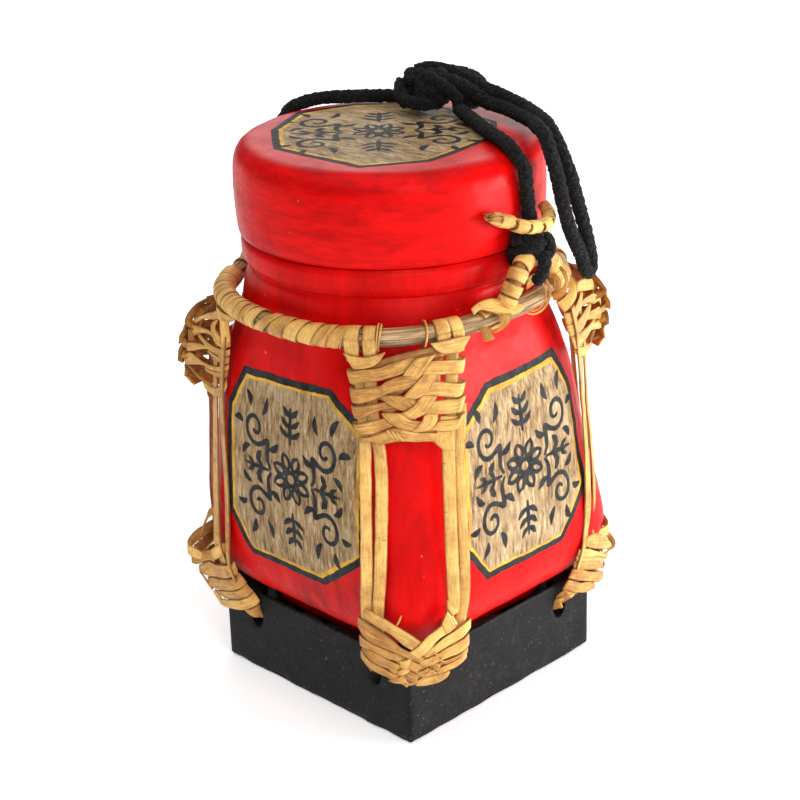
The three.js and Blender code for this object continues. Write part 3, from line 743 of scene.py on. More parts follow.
def mouth_ring():
    m = 200
    th = np.arange(m) / m * 2 * math.pi
    prof = [(50.2, 189.6), (54.3, 189.6), (54.5, 190.2), (54.5, 213), (54.2, 215.2), (53.6, 216.3), (52.4, 216.9), (51, 216.9), (50.1, 216.4), (49.8, 215.2), (49.7, 205), (49.7, 190.4)]
    V = []
    for r, z in prof:
        w = np.array([0.12 * field(r * math.cos(t), r * math.sin(t), z, 0.06) for t in th])
        V.append(np.stack([(r + w) * np.cos(th) + AXIS, (r + w) * np.sin(th) + AXIS, np.full(m, z)], axis=1))
    V = np.array(V)
    k = len(prof)
    F = [(i * m + j, i * m + (j + 1) % m, ((i + 1) % k) * m + (j + 1) % m, ((i + 1) % k) * m + j) for i in range(k) for j in range(m)]
    me = bpy.data.meshes.new("mouth_spigot")
    me.from_pydata([tuple(p) for p in V.reshape(-1, 3) * MM], [], F)
    me.polygons.foreach_set("use_smooth", [True] * len(F))
    me.materials.append(M["wood"])
    o = bpy.data.objects.new("mouth_spigot", me)
    bpy.context.scene.collection.objects.link(o)
    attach(o, "root")
    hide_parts("mouth_ring")


mouth_ring()


# ----------------------------------------------------------------------- plinth
def plinth():
    """Carved block: worn edges, a pocket under the jar behind thin rims, and a slot through each corner."""
    import bmesh
    bm = bmesh.new()
    H, P, E, D = HALF, 55.7, HALF - 24, 6.0

    def outline(h, r, n):
        pts = []
        for k in range(4):
            c = math.radians(90 * k - 45)
            cx, cy = (h - r) * (1 if k in (0, 1) else -1), (h - r) * (1 if k in (1, 2) else -1)
            for i in range(n + 1):
                a = math.radians(90 * (k - 1)) + math.pi / 2 * i / n
                pts.append((cx + r * math.cos(a), cy + r * math.sin(a)))
        return pts

    me = bpy.data.meshes.new("plinth")
    verts = outline(H, 2.2, 6)
    low = [bm.verts.new((x, y, 0)) for x, y in verts]
    high = [bm.verts.new((x, y, BASE_H)) for x, y in verts]
    n = len(low)
    bm.faces.new(list(reversed(low)))
    bm.faces.new(high)
    for i in range(n):
        bm.faces.new((low[i], low[(i + 1) % n], high[(i + 1) % n], high[i]))
    bm.to_mesh(me)
    bm.free()
    o = bpy.data.objects.new("plinth", me)
    bpy.context.scene.collection.objects.link(o)

    def cutter(build, name):
        b2 = bmesh.new()
        build(b2)
        bmesh.ops.recalc_face_normals(b2, faces=b2.faces)
        mm = bpy.data.meshes.new(name)
        b2.to_mesh(mm)
        b2.free()
        oo = bpy.data.objects.new(name, mm)
        bpy.context.scene.collection.objects.link(oo)
        return oo

    def prism(b2, pts, z0, z1):
        a = [b2.verts.new((x, y, z0)) for x, y in pts]
        b = [b2.verts.new((x, y, z1)) for x, y in pts]
        b2.faces.new(list(reversed(a)))
        b2.faces.new(b)
        for i in range(len(a)):
            j = (i + 1) % len(a)
            b2.faces.new((a[i], a[j], b[j], b[i]))

    def pocket(b2):
        pts = []
        for k in range(4):
            c, s = math.cos(k * math.pi / 2), math.sin(k * math.pi / 2)
            q = [(P, E), (P - 0.5, E + 1.7), (P - 1.8, E + 3.2), (P - 4, E + 4.9), (P - 6.4, E + 6), (P - 9.5, E + 8.6), (E + 8.6, P - 9.5),
                 (E + 6, P - 6.4), (E + 4.9, P - 4), (E + 3.2, P - 1.8), (E + 1.7, P - 0.5), (E, P)]
            pts += [(x * c - y * s, x * s + y * c) for x, y in q]
        prism(b2, pts, BASE_H - D, BASE_H + 5)

    def slots(b2):
        for k in range(4):
            a0 = math.radians(90 * k)
            c, s = math.cos(a0), math.sin(a0)
            # slot along the diagonal cut, from one face to the next
            ring = []
            for i in range(16):
                a = i / 16 * 2 * math.pi
                ring.append((2.7 * math.cos(a), 5.2 * math.sin(a)))
            mid = np.array([HALF - 10.5, -HALF + 10.5])
            d = np.array([1, 1]) / math.sqrt(2)
            p = np.array([1, -1]) / math.sqrt(2)
            A, B = [], []
            for u, w in ring:
                for L, e in ((A, -24), (B, 24)):
                    q = mid + d * e + p * u
                    L.append(b2.verts.new((q[0] * c - q[1] * s, q[0] * s + q[1] * c, 26.3 + w)))
            b2.faces.new(list(reversed(A)))
            b2.faces.new(B)
            for i in range(16):
                j = (i + 1) % 16
                b2.faces.new((A[i], A[j], B[j], B[i]))

    tools = [cutter(pocket, "cut_pocket"), cutter(slots, "cut_slots")]
    for t in tools:
        md = o.modifiers.new(t.name, 'BOOLEAN')
        md.operation = 'DIFFERENCE'
        md.solver = 'EXACT'
        md.object = t
    dg = bpy.context.evaluated_depsgraph_get()
    solid = bpy.data.meshes.new_from_object(o.evaluated_get(dg))
    o.modifiers.clear()
    o.data = solid
    for t in tools:
        bpy.data.objects.remove(t)
    md = o.modifiers.new("edges", 'BEVEL')
    md.width = 1.1
    md.segments = 3
    md.limit_method = 'ANGLE'
    md.angle_limit = math.radians(40)
    md.harden_normals = False
    dg = bpy.context.evaluated_depsgraph_get()
    me2 = bpy.data.meshes.new_from_object(o.evaluated_get(dg))
    o.modifiers.clear()
    bm = bmesh.new()
    bm.from_mesh(me2)
    bmesh.ops.triangulate(bm, faces=bm.faces)
    for _ in range(6):
        long = [e for e in bm.edges if e.calc_length() > 4.2]
        if not long:
            break
        bmesh.ops.subdivide_edges(bm, edges=long, cuts=1)
        bmesh.ops.triangulate(bm, faces=[f for f in bm.faces if len(f.verts) > 3])
    for v in bm.verts:
        p = v.co
        w = mnoise.fractal(Vector((p.x * 0.05, p.y * 0.05, p.z * 0.05)), 1.0, 2.0, 4)
        # dents and rounding worn into the outer and lower edges
        e = 0.0
        if p.z < 6:
            e += (1 - p.z / 6) ** 2 * 0.9 * max(0.0, mnoise.noise(Vector((p.x * 0.11, p.y * 0.11, 3))) + 0.45)
        r = max(abs(p.x), abs(p.y))
        if r > HALF - 0.6:
            k = (r - 0.28 * abs(w) - e) / r
            v.co.x *= k
            v.co.y *= k
        if p.z < 2:
            v.co.z += e * 0.7 * (1 if r > HALF - 3 else 0)
        if p.z > BASE_H - 0.4 and r > HALF - 3.5:
            v.co.z -= 0.8 * max(0.0, mnoise.noise(Vector((p.x * 0.08, p.y * 0.08, 9))) + 0.1)
        v.co *= MM
        v.co.z = max(v.co.z, 0.0)
    bm.to_mesh(me2)
    bm.free()
    for f in me2.polygons:
        f.use_smooth = True
    me2.materials.clear()
    me2.materials.append(M["black"])
    o.data = me2
    if hasattr(me2, "set_sharp_from_angle"):
        me2.set_sharp_from_angle(angle=math.radians(38))
    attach(o, "root")
    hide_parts("base_plinth")


plinth()


# ---------------------------------------------------------------- rattan harness
def W(deg, t, r, z):
    """Place in mm from a corner's own measures: along the tangent, out from the axis, up."""
    a = math.radians(deg)
    c, s = math.cos(a), math.sin(a)
    return np.array((r * c - t * s, r * s + t * c, z))


HX, HY, HZ, HR, HSQ, TILTX, TILTY, CANE = -1.3, -1.6, 175.35, 68.5, 1.44, 0.059, 0.035, 3.65


LIFT_AZ = [0, 150, 170, 190, 208, 222, 234, 246, 258, 270, 284, 290, 300, 312, 330, 360]
LIFT = [0.0, 0.0, 1.4, 4.2, 5.0, 4.7, 4.4, 3.9, 3.3, 2.7, 1.9, 1.5, 1.1, 0.6, 0.0, 0.0]


def hoop(th):
    th = np.asarray(th, float)
    az = (np.degrees(th) + 90) % 360 - 90
    r = HR - HSQ * np.cos(4 * th) + 0.7 * np.exp(-((az - 228) / 10) ** 2)
    x, y = HX + r * np.cos(th), HY + r * np.sin(th)
    # the cane springs up a little on the left
    lift = np.interp((az - 180 + 180) % 360, LIFT_AZ, LIFT)
    return np.stack([x, y, HZ + TILTX * x + TILTY * y + lift], axis=-1)


def hoop_frame(th):
    p = hoop(th)
    t = unit(hoop(np.asarray(th) + 0.004) - hoop(np.asarray(th) - 0.004))
    out = np.stack([np.cos(th), np.sin(th), 0 * np.asarray(th)], axis=-1)
    e1 = unit(out - t * np.sum(out * t, axis=-1, keepdims=True))
    return p, t, e1, np.cross(t, e1)


PROFILE = [(-1.0, -0.30), (-1.0, 0.12), (-0.90, 0.38), (-0.5, 0.54), (0.0, 0.60), (0.5, 0.54), (0.90, 0.38), (1.0, 0.12), (1.0, -0.30), (0.88, -0.44), (0.0, -0.46), (-0.88, -0.44)]


def ribbon(piece, A, B, thick=0.8, step=1.15, tone=None, out=None, tilt=0.0, cup=0.0, lift=0.0):
    """A split strip between two edge lines, in mm. out: a direction that its outer side faces at its middle."""
    A, B = np.array(A, float), np.array(B, float)
    R = spline(np.hstack([(A + B) / 2, A, B]), step)
    P, A, B = R[:, :3], R[:, 3:6], R[:, 6:9]
    T = tangents(P)
    S = B - A
    wd = np.linalg.norm(S, axis=1)
    S = unit(S)
    N = unit(np.cross(T, S))
    mid = len(P) // 2
    ref = np.array([P[mid][0], P[mid][1], 0.0]) if out is None else np.array(out, float)
    flip = np.dot(N[mid], ref) < 0
    if flip:
        N = -N
    s = np.concatenate([[0], np.cumsum(np.linalg.norm(np.diff(P, axis=0), axis=1))])
    tone = rnd.random() if tone is None else tone
    seed = rnd.random() * 100
    V = np.empty((len(P), len(PROFILE), 3))
    for i in range(len(P)):
        tw = tilt + 0.05 * mnoise.noise(Vector((s[i] * 0.07, seed + 9, 0)))
        n = N[i] * math.cos(tw) - S[i] * math.sin(tw)
        b = S[i] * math.cos(tw) + N[i] * math.sin(tw)
        e1 = 0.05 * mnoise.noise(Vector((s[i] * 0.4, seed + 20, 0)))
        e2 = 0.05 * mnoise.noise(Vector((s[i] * 0.4, seed + 30, 0)))
        w = wd[i] / 2
        up = lift + 0.10 * mnoise.noise(Vector((s[i] * 0.12, seed + 50, 0)))
        for j, (a, h) in enumerate(PROFILE):
            V[i, j] = P[i] + b * ((a + (e1 if a > 0.8 else e2 if a < -0.8 else 0)) * w) + n * (h * thick + up - cup * a * a)
    if np.dot(np.cross(T[mid], S[mid]), N[mid]) > 0:
        V = V[:, ::-1]
        ac = np.array([a for a, h in PROFILE])[::-1]
    else:
        ac = np.array([a for a, h in PROFILE])
    piece.rings(V, ac, s * MM, tone)


def strip_on(piece, rows, side, width=5.2, thick=0.8, step=1.2, tone=None, taper=0.0, out=None, tilt=0.0, wobble=0.045, cup=0.0):
    """A strip along rows of (x, y, z[, width factor]) whose width lies along side."""
    R = spline([tuple(r) for r in rows], step * 2.2)
    P = R[:, :3]
    T = tangents(P)
    S = np.tile(np.array(side, float), (len(P), 1)) if np.ndim(side) == 1 else np.array([np.interp(np.linspace(0, 1, len(P)), np.linspace(0, 1, len(side)), np.array(side)[:, k]) for k in range(3)]).T
    B = unit(S - T * np.sum(S * T, axis=1, keepdims=True))
    s = np.concatenate([[0], np.cumsum(np.linalg.norm(np.diff(P, axis=0), axis=1))])
    seed = rnd.random() * 100
    w = np.array([width / 2 * (1 + wobble * 2 * mnoise.noise(Vector((q * 0.11, seed, 0)))) for q in s])
    if R.shape[1] > 3:
        w = w * R[:, 3]
    if taper:
        w = w * np.minimum(1.0, 0.35 + 0.65 * np.minimum(s, s[-1] - s) / taper)
    ribbon(piece, P - B * w[:, None], P + B * w[:, None], thick, step, tone, out, tilt, cup)


def turn(piece, az, width=5.2, r0=CANE + 0.5, thick=0.75, start=-150.0, sweep=395.0, pitch=0.0, slant=0.0, tilt=0.0, tone=None, phase=90.0, grow=0.25, cup=0.0, taper=0.0, wvar=0.0):
    """One turn of strip round the hoop's cane at azimuth az (degrees). Angle 0 faces out, 90 up (to the lid)."""
    n = max(20, int(sweep / 12))
    ph = np.radians(np.linspace(start, start + sweep, n))
    f = np.linspace(-0.5, 0.5, n)
    th = np.radians(az) + (pitch * f + slant * np.cos(ph - math.radians(phase))) / HR
    P, T, E1, E2 = hoop_frame(th)
    r = r0 + grow * np.linspace(0, 1, n) + 0.12 * np.array([mnoise.noise(Vector((p * 0.7, az, 5))) for p in ph])
    up = np.where(E2[:, 2:3] > 0, 1.0, -1.0)
    C = P + r[:, None] * (E1 * np.cos(ph)[:, None] + E2 * up * np.sin(ph)[:, None])
    w = np.full(n, width / 2) * (1 + wvar * np.sin(ph * 1.0 + az))
    if taper:
        w = w * np.clip(0.3 + np.minimum(np.linspace(0, 1, n), np.linspace(1, 0, n)) * 6, 0, 1)
    Cs = spline(np.hstack([C, T, w[:, None]]), 2.2)
    Tn = tangents(Cs[:, :3])
    S = unit(Cs[:, 3:6] - Tn * np.sum(Cs[:, 3:6] * Tn, axis=1, keepdims=True))
    mid = len(Cs) // 2
    Pm = hoop_frame(np.array([np.arctan2(Cs[mid][1] - HY, Cs[mid][0] - HX)]))[0][0]
    ribbon(piece, Cs[:, :3] - S * Cs[:, 6:7], Cs[:, :3] + S * Cs[:, 6:7], thick, 1.1, tone, Cs[mid][:3] - Pm, tilt, cup)


def cane_hoop():
    p = Piece()
    th = np.linspace(0, 2 * math.pi, 420, endpoint=False)
    P, T, E1, E2 = hoop_frame(th)
    m = 48
    ang = np.arange(m) / m * 2 * math.pi
    V = np.empty((len(P), m, 3))
    for i, t in enumerate(th):
        for j, a in enumerate(ang):
            n1 = mnoise.noise(Vector((math.cos(a) * 4.2, math.sin(a) * 4.2, 3 + 1.6 * math.cos(t))))
            n2 = mnoise.noise(Vector((math.cos(a) * 9.5, math.sin(a) * 9.5, 8 + 2.5 * math.sin(t))))
            q = CANE + 0.26 * n1 + 0.26 * n2
            V[i, j] = P[i] + (E1[i] * math.cos(a) + E2[i] * math.sin(a)) * q
    p.rings(V[:, ::-1], (ang / math.pi - 1)[::-1], th * HR * MM, 0.5, closed=True, caps=False)
    return p.build("cane_hoop", M["cane"], "root", ("shoulder_hoop",), "cane")


cane_hoop()


# the corners' surfaces, on which the strips lie
def front_rho(t, z):
    return np.interp(z, [20, 30, 52, 60, 137, 172, 180], [84.8, 86.5, 88.0, 86.5, 81.5, 74.5, 74.0]) - t * t / 140


CORNERS = {
    "front": dict(deg=-45, mirror=False, z=(137.3, 172.0)),
    "right": dict(deg=45, mirror=False, z=(141.0, 175.2), zs=(138, 143, 148, 154, 161, 168, 174, 180), mid=(77.6, 80.6, 83.4, 85.4, 85.6, 84.6, 80.5, 76.0), edge=(75.4, 74.2, 72.6, 71.0, 69.2, 68.0, 68.0, 68.5), rise=3.0, open=2.6),
    "back": dict(deg=135, mirror=True, z=(134.5, 169.4), zs=(132, 137, 142, 148, 155, 162, 168, 174), mid=(80.0, 82.0, 84.4, 86.2, 86.4, 84.6, 80.5, 76.0), edge=(76.0, 75.0, 73.4, 72.0, 70.4, 69.2, 69.2, 69.6), rise=3.0, open=2.6),
    "left": dict(deg=225, mirror=True, z=(127.5, 166.6), zs=(126, 131, 137, 142, 148, 155, 164, 171), mid=(80.6, 85.0, 89.0, 91.2, 90.6, 88.6, 84.8, 77.0), edge=(75.6, 73.2, 70.6, 70.0, 69.8, 69.6, 70.0, 71.0), rise=4.5, open=3.2),
}


def on_corner(name, t, z, off):
    """World place of the front corner's (t, z, height) on this corner's own surface."""
    c = CORNERS[name]
    if name == "front":
        return W(-45, t, front_rho(t, z) + off, z)
    u = (t - 2.3) / 22.3
    v = (z - 137.3) / 34.7
    u2 = -u if c["mirror"] else u
    zz = c["z"][0] + v * (c["z"][1] - c["z"][0]) + c["rise"] * max(0.0, 1 - u * u) - c["rise"] * 0.5
    k = max(0.0, 1 - abs(u2) ** 1.45)
    e, m = np.interp(zz, c["zs"], c["edge"]), np.interp(zz, c["zs"], c["mid"])
    return W(c["deg"], u2 * 20.5, e + (m - e) * k + off * 1.15 + (c["open"] * max(0.0, 1 - u * u) * (1 if off > 0 else -0.6)), zz)

# strips of the corner's weave and lashing: (t, z) of the upper edge, (t, z) of the lower edge, height over the surface
ROWS = {
    "G": [(-14.9, 167.4, -14.5, 162.3, -0.6), (-10.1, 168.4, -9.3, 163.4, -0.6), (-4.9, 170.2, -3.7, 165, -0.6), (2.9, 172.1, 4.1, 166.8, -0.6), (8.1, 173, 9.2, 167.6, -0.6), (12.3, 173.7, 13.5, 168.4, -0.6), (15.9, 174.4, 17, 168.9, -0.6)],
    "S1": [(6.1, 169.9, 14.6, 171, 0.9), (4.4, 168.2, 12.8, 168.9, 0.9), (2.4, 165.8, 10.5, 165.9, 0.8), (0.7, 163.6, 8.3, 163.1, 0.5), (-0.9, 161, 6.8, 160.9, -0.3), (-5.3, 157.2, 1.2, 156.4, -1), (-12.7, 155.8, -7.3, 153, -1.6)],
    "L1": [(-19.7, 165.2, -18.4, 159.9, 0.9), (-13.4, 166.1, -13.5, 161, 0.9), (-8.5, 166.6, -8.7, 161.5, 0.6), (-3.6, 168.3, -3.8, 162.5, 0.3), (0.9, 169.4, 0.1, 163.7, 0.1), (3.8, 170, 4.3, 165.6, -0.3), (9.3, 171.4, 9.5, 166.7, -0.9), (15.8, 172.3, 16.7, 167.4, -1.4)],
    "R1": [(24.6, 167.8, 23.8, 162.3, 0.9), (18.9, 168.4, 18.8, 162.7, 0.9), (13.4, 168.7, 13.9, 163, 0.7), (10.8, 168.1, 9.1, 163.1, 0.3), (7.6, 166.1, 5.8, 161.4, -0.1), (4.3, 163.2, 2.5, 158.5, -0.6), (-2.3, 159.7, -3.4, 155.5, -1.2)],
    "L2": [(-18.8, 158.2, -17.9, 152.5, 0.9), (-13.6, 158.9, -13.8, 153.1, 0.9), (-7.8, 159.8, -9.5, 154.6, 0.7), (-5.1, 161.8, -5.9, 156.2, 0.7), (-2.2, 162.9, -2, 157.4, 0.9), (1.4, 163.6, 1.2, 158, 0.9), (4.6, 163.1, 4.5, 159.2, 0.7), (7.3, 162.1, 6.8, 160.2, 0.3), (10.7, 162.3, 10.6, 159, -0.4), (15.6, 163.1, 15.5, 158.2, -1.2)],
    "S2": [(11.1, 164.7, 17.2, 164.1, -0.4), (7.8, 162.3, 14.7, 162.6, 0.5), (7, 161.7, 13.9, 161.1, 0.8), (5.1, 160, 12.5, 158.4, 1.1), (3.1, 158, 10.2, 156.4, 1.1), (1.2, 155.8, 7.3, 154.9, 0.8), (-2.1, 153.3, 2.3, 151.8, -0.3), (-9, 150.5, -4.3, 147.7, -1.4)],
    "R2": [(24.6, 158.8, 23, 153.3, 0.9), (18.7, 159.8, 18.6, 154, 0.9), (13.9, 160.7, 13.7, 154.9, 0.8), (11, 160.4, 9.9, 155.4, 0.8), (7.7, 158.9, 7.3, 154.6, 0.6), (5.1, 157.4, 5.6, 153.8, 0.2), (2.4, 155.3, 3.3, 151.7, -0.5), (-2.5, 152.9, -1, 149, -1.3)],
    "L3": [(-18.4, 151.5, -17.2, 146.6, 0.9), (-12.5, 152.4, -13, 148.1, 0.8), (-7, 153.4, -9.7, 149.5, 0.4), (-4.1, 154.2, -6.8, 150.1, -0.1), (-0.8, 155.1, -2.9, 150.5, -0.5), (5.7, 156.9, 4.3, 151.5, -1)],
    "F3": [(-8.7, 155.8, 0.5, 155.8, 0.5), (-7.6, 154.8, 2.4, 155.3, 0.9), (-6, 153.3, 4.3, 154.7, 1.1), (-3.8, 151.9, 6.3, 154, 1), (-1.3, 150.8, 7.5, 152.2, 0.5), (1.3, 149.4, 8.4, 150.3, -0.1), (5.5, 148.2, 11.3, 149.1, -0.9)],
    "S3": [(11.5, 157.3, 17, 155.4, -0.6), (8.9, 156.1, 14.7, 154.6, 0.2), (7.7, 155, 13.7, 153.6, 0.8), (6.4, 153.8, 12.7, 152, 1.1), (4.9, 152, 10.3, 149, 1.1), (0.3, 149.3, 5.4, 146.7, 0.6), (-2.9, 148.1, 1.8, 145.7, -0.3), (-9.2, 145.6, -4.4, 142.4, -1.4)],
    "R3": [(24.5, 153.7, 22.6, 147.4, 1.2), (23.1, 153, 21.7, 147.3, 0.9), (18.6, 153.3, 18.4, 147.4, 0.9), (14, 153.2, 14.2, 147.8, 0.8), (10.8, 152.8, 9.3, 148.2, 0.6), (7.8, 150.8, 7.1, 147.3, 0.3), (4.8, 149.2, 4.4, 146.1, -0.2), (0.9, 147.7, 0.8, 144.5, -1)],
    "L4": [(-18.1, 144.8, -16.1, 140.6, 1), (-14, 145.7, -12.6, 140.7, 1), (-9.1, 146.7, -9.3, 141.7, 0.8), (-6.2, 147.4, -5.7, 142.8, 0.5), (-3.6, 147.8, -2.4, 143.6, 0), (-0.4, 147.7, 1.4, 142.9, -0.5), (5.4, 146.9, 6.9, 141.9, -1)],
    "F4": [(-7.8, 149.1, -2.9, 149.2, 0.6), (-7, 147.7, 0.3, 149.2, 1), (-5.3, 146, 2.2, 147.9, 1.2), (-2.7, 144.2, 4.1, 146.5, 1.2), (0.1, 142.9, 7.3, 145.8, 1), (3.7, 141.8, 10.2, 145.2, 0.6), (6.9, 141.1, 12.5, 144.3, 0.3), (10.1, 140.7, 14.4, 143.1, -0.3), (15, 140.8, 17.1, 143.2, -1)],
    "S4": [(10.7, 149.1, 15.9, 148.2, -0.3), (8.7, 147.6, 14.4, 147.2, 0.7), (8.1, 146.2, 14.2, 145.7, 1.2), (7.3, 145.4, 13.4, 144.2, 1.4), (6, 143.8, 11.3, 142.5, 1.2), (4.3, 142.4, 8.2, 141.6, 0.7), (1.4, 141.6, 5.3, 140.7, -0.2)],
    "R4": [(24.2, 146.9, 21, 140.9, 1.2), (22.9, 145.5, 19.7, 140.7, 1.1), (21.3, 145.2, 17.9, 140.7, 1), (18, 145.2, 16.3, 140.8, 0.9), (14.8, 145.2, 13.7, 141.3, 0.7), (13.1, 143.9, 11.8, 141.6, 0.3), (11.2, 142.7, 9.8, 140.8, -0.4)],
    "BAND": [(-16.5, 138.9, -15.6, 137.3, -0.5), (-12, 139.8, -10.4, 137.7, 0.4), (-8.3, 141.4, -8.5, 137, 0.7), (-5.7, 142.7, -5.9, 137.3, 0.8), (-3.1, 143.6, -2.9, 137.9, 0.8), (0.1, 143.2, -0, 138.1, 0.8), (3, 142.2, 3.5, 137.9, 0.8), (6.9, 141.3, 6.8, 137.6, 0.8), (10.4, 141, 11.3, 137.5, 0.7), (13.4, 140.5, 14.2, 136.2, 0.2), (17.6, 139, 18.1, 134.2, -0.8)],
    "FANL": [(-21.4, 172.2, -21, 171.6, 1.2), (-20.3, 171.7, -19.5, 168.6, 1.2), (-18.7, 171.3, -17.9, 166.1, 1.2), (-16.4, 171, -15.6, 166, 1.2), (-13.8, 171, -12.7, 166.5, 1.2), (-11.2, 171.3, -10.1, 167.4, 1.2), (-8.6, 172.1, -8.3, 168.6, 1.2), (-6.7, 172.6, -6.5, 171, 1.2), (-5.5, 173.1, -5.4, 172.7, 1.2)],
    "FANR": [(12.1, 175.8, 12.3, 175.4, 1), (14.3, 175.9, 14.5, 172.4, 1), (16.5, 176.1, 16.7, 171.1, 1), (19.1, 176.3, 19.3, 170.7, 1), (21.7, 176.8, 22.2, 170.5, 1), (24, 176.9, 24.2, 170.9, 1), (25.9, 176.9, 25.9, 173.2, 1), (27.5, 176.8, 27.3, 175.9, 1)],
    "POSTR_TOP": [(18.2, 170.9, 23.6, 170.1, -0.2), (17.9, 166.7, 23.3, 166, -0.3), (17.5, 160.3, 23.2, 159.5, -0.3), (16.1, 153.3, 22.9, 152.4, -0.3), (15, 146.7, 22.5, 145.7, -0.3), (13.4, 140.8, 21.2, 140, -0.1), (12, 137.5, 21, 137.2, 0.2), (14.5, 134.9, 20.9, 134.6, 0.3), (16.1, 133.2, 20.9, 132.5, 0.2)],
    "POSTL_TOP": [(-19, 163, -13.5, 163.4, -0.4), (-18.5, 158.9, -12.8, 159.2, -0.4), (-17.6, 152, -12.8, 152.3, -0.4), (-17.3, 145.5, -12.6, 145.8, -0.4), (-16.3, 140.5, -12.6, 140.7, -0.4), (-16.4, 133.9, -12.7, 134.1, -0.4)],
    "VL": [(-16.2, 65.9, -17.8, 63, -0.8), (-15, 66.5, -17, 62.6, 1), (-12.6, 65.3, -13.7, 60.5, 1.6), (-9.3, 63.5, -9.7, 58.3, 1.7), (-4.4, 60.1, -6.7, 56.5, 1.7), (0.1, 57.3, -4, 54, 1.7), (4.6, 53.9, -1.6, 51.6, 1.4), (7.1, 51.4, 1.4, 49.2, 0.8), (10.7, 47.4, 6.3, 44.1, -0.4)],
    "VR": [(18.2, 62.6, 20.3, 58.3, 0.5), (16, 60.9, 18.1, 56.8, 1.2), (13.8, 59.6, 15.8, 55.6, 1.9), (10.9, 57.6, 13, 54.2, 2.2), (7.8, 55.6, 11.1, 52.7, 2.3), (4.6, 52.3, 9.5, 50.6, 2.2), (2.1, 49.9, 6.3, 47.2, 1.6), (-1.7, 46.4, 2.8, 42.9, 0.2)],
    "K": [(16.1, 65.4, 16.5, 65.1, 2.3), (14.9, 62.7, 18.2, 62.6, 2.3), (13.7, 59.8, 19.2, 59.8, 2.3), (14.4, 58, 19.6, 58.1, 2.3), (15.4, 55.8, 16.8, 56.2, 2.3)],
    "S3END": [(16, 69.6, 20.5, 68.9, 1), (16.1, 67.9, 20.4, 66.6, 1), (16.1, 66, 20.8, 64.1, 1), (17, 64.2, 19.4, 63.2, 1), (17.9, 62.8, 18.1, 62.5, 1)],
    "LT1": [(-18.3, 61.8, -19.3, 56.7, 0.5), (-15.3, 59.9, -16.4, 53.1, 0.5), (-10.7, 57.3, -12.5, 51.2, 0.5), (-7.7, 55.3, -9.1, 49.6, 0.5), (-5, 53, -5.7, 48.1, 0.5), (-2.9, 50.6, -3.6, 47, 0.5), (0.2, 48.7, -1.1, 45.9, 0.5), (3.3, 47.7, 1.9, 44.6, 0.5), (6.3, 46, 5, 42.6, 0.5), (10, 43.5, 8.7, 40.4, 0.5), (13.1, 41.3, 11.5, 38.1, 0.5)],
    "LT2": [(-18.6, 54.4, -18.2, 49.2, 0.5), (-16.4, 53, -15.6, 48.6, 0.5), (-12.5, 51.1, -11.7, 46.9, 0.5), (-9.1, 49.4, -8.3, 44.9, 0.5), (-5.7, 47.8, -5.2, 43.9, 0.5), (-2.4, 46.4, -2.2, 41.4, 0.5), (1.3, 44.6, 0.6, 39.8, 0.5), (4.4, 42.6, 3.6, 37.9, 0.5), (8.1, 40.4, 6.7, 36.1, 0.5)],
    "LT3": [(-18.3, 49.4, -16.9, 45.4, 0.5), (-15.3, 48.5, -14.3, 43, 0.5), (-11.7, 46.9, -11.2, 41.3, 0.5), (-8, 44.6, -8.1, 40.1, 0.5), (-4.9, 43.2, -6.3, 38.4, 0.5), (-1.9, 41, -3.9, 37.2, 0.5), (1.2, 39.3, -0.8, 35.4, 0.5), (4.2, 37.1, 2.6, 33, 0.5)],
    "LT4": [(-18.3, 47.2, -17.9, 42.9, 0.5), (-16.3, 44.5, -15, 39.3, 0.5), (-13.4, 42.4, -12.3, 37.6, 0.5), (-10, 40.6, -8.9, 36.1, 0.5), (-6.3, 38.6, -6.1, 34.3, 0.5), (-3.6, 37.3, -3.4, 32.8, 0.5), (-0.2, 34.7, -0.9, 31.4, 0.5)],
    "RT1": [(24.5, 59, 24.8, 54.2, 0.5), (21.5, 57.4, 21.1, 51.7, 0.5), (19.3, 56.1, 17.3, 49.9, 0.5), (15.5, 54.2, 13.8, 48.1, 0.5), (12.4, 52.1, 10.1, 46, 0.5), (10.1, 50.2, 7.5, 44.6, 0.5), (6.4, 48, 4.4, 43, 0.5), (2.9, 46.4, 1.2, 41.3, 0.5), (-1.8, 44.7, -1.9, 39.9, 0.5), (-4.9, 43.2, -4.5, 38.5, 0.5)],
    "RT2": [(24.2, 52.7, 23.5, 47.1, 0.5), (21.1, 51.2, 21.3, 45.4, 0.5), (17.3, 49.5, 16.9, 44.2, 0.5), (13.8, 47.8, 13.4, 43, 0.5), (10, 45.8, 10.3, 41.7, 0.5), (2.8, 43.9, 5.9, 40.6, 0.5), (-1.6, 41.4, 1.2, 39.1, 0.5), (-6.9, 38.4, -5.5, 35.5, 0.5)],
    "RT3": [(23.4, 46.4, 22.9, 43.8, 0.5), (20, 44.4, 20, 42.8, 0.5), (16.6, 43.3, 16.5, 41.4, 0.5), (13.1, 42.4, 12.7, 40.1, 0.5), (9, 40.4, 11.1, 37.5, 0.5), (2.7, 38.9, 6.1, 36, 0.5), (-2, 37.6, 1, 33.9, 0.5), (-8.6, 34.9, -5.2, 33.3, 0.5)],
    "RT4": [(22.9, 43.8, 22.4, 41.1, 0.5), (20, 42.6, 19.9, 39.2, 0.5), (16.5, 41.1, 16.5, 37.8, 0.5), (12.7, 39.8, 13, 36.8, 0.5), (9.9, 37.6, 10.5, 36.6, 0.5), (5.8, 35.9, 6.1, 35.1, 0.5), (2, 33.6, 2.6, 32.5, 0.5), (-4, 33.2, -0.9, 31.4, 0.5)],
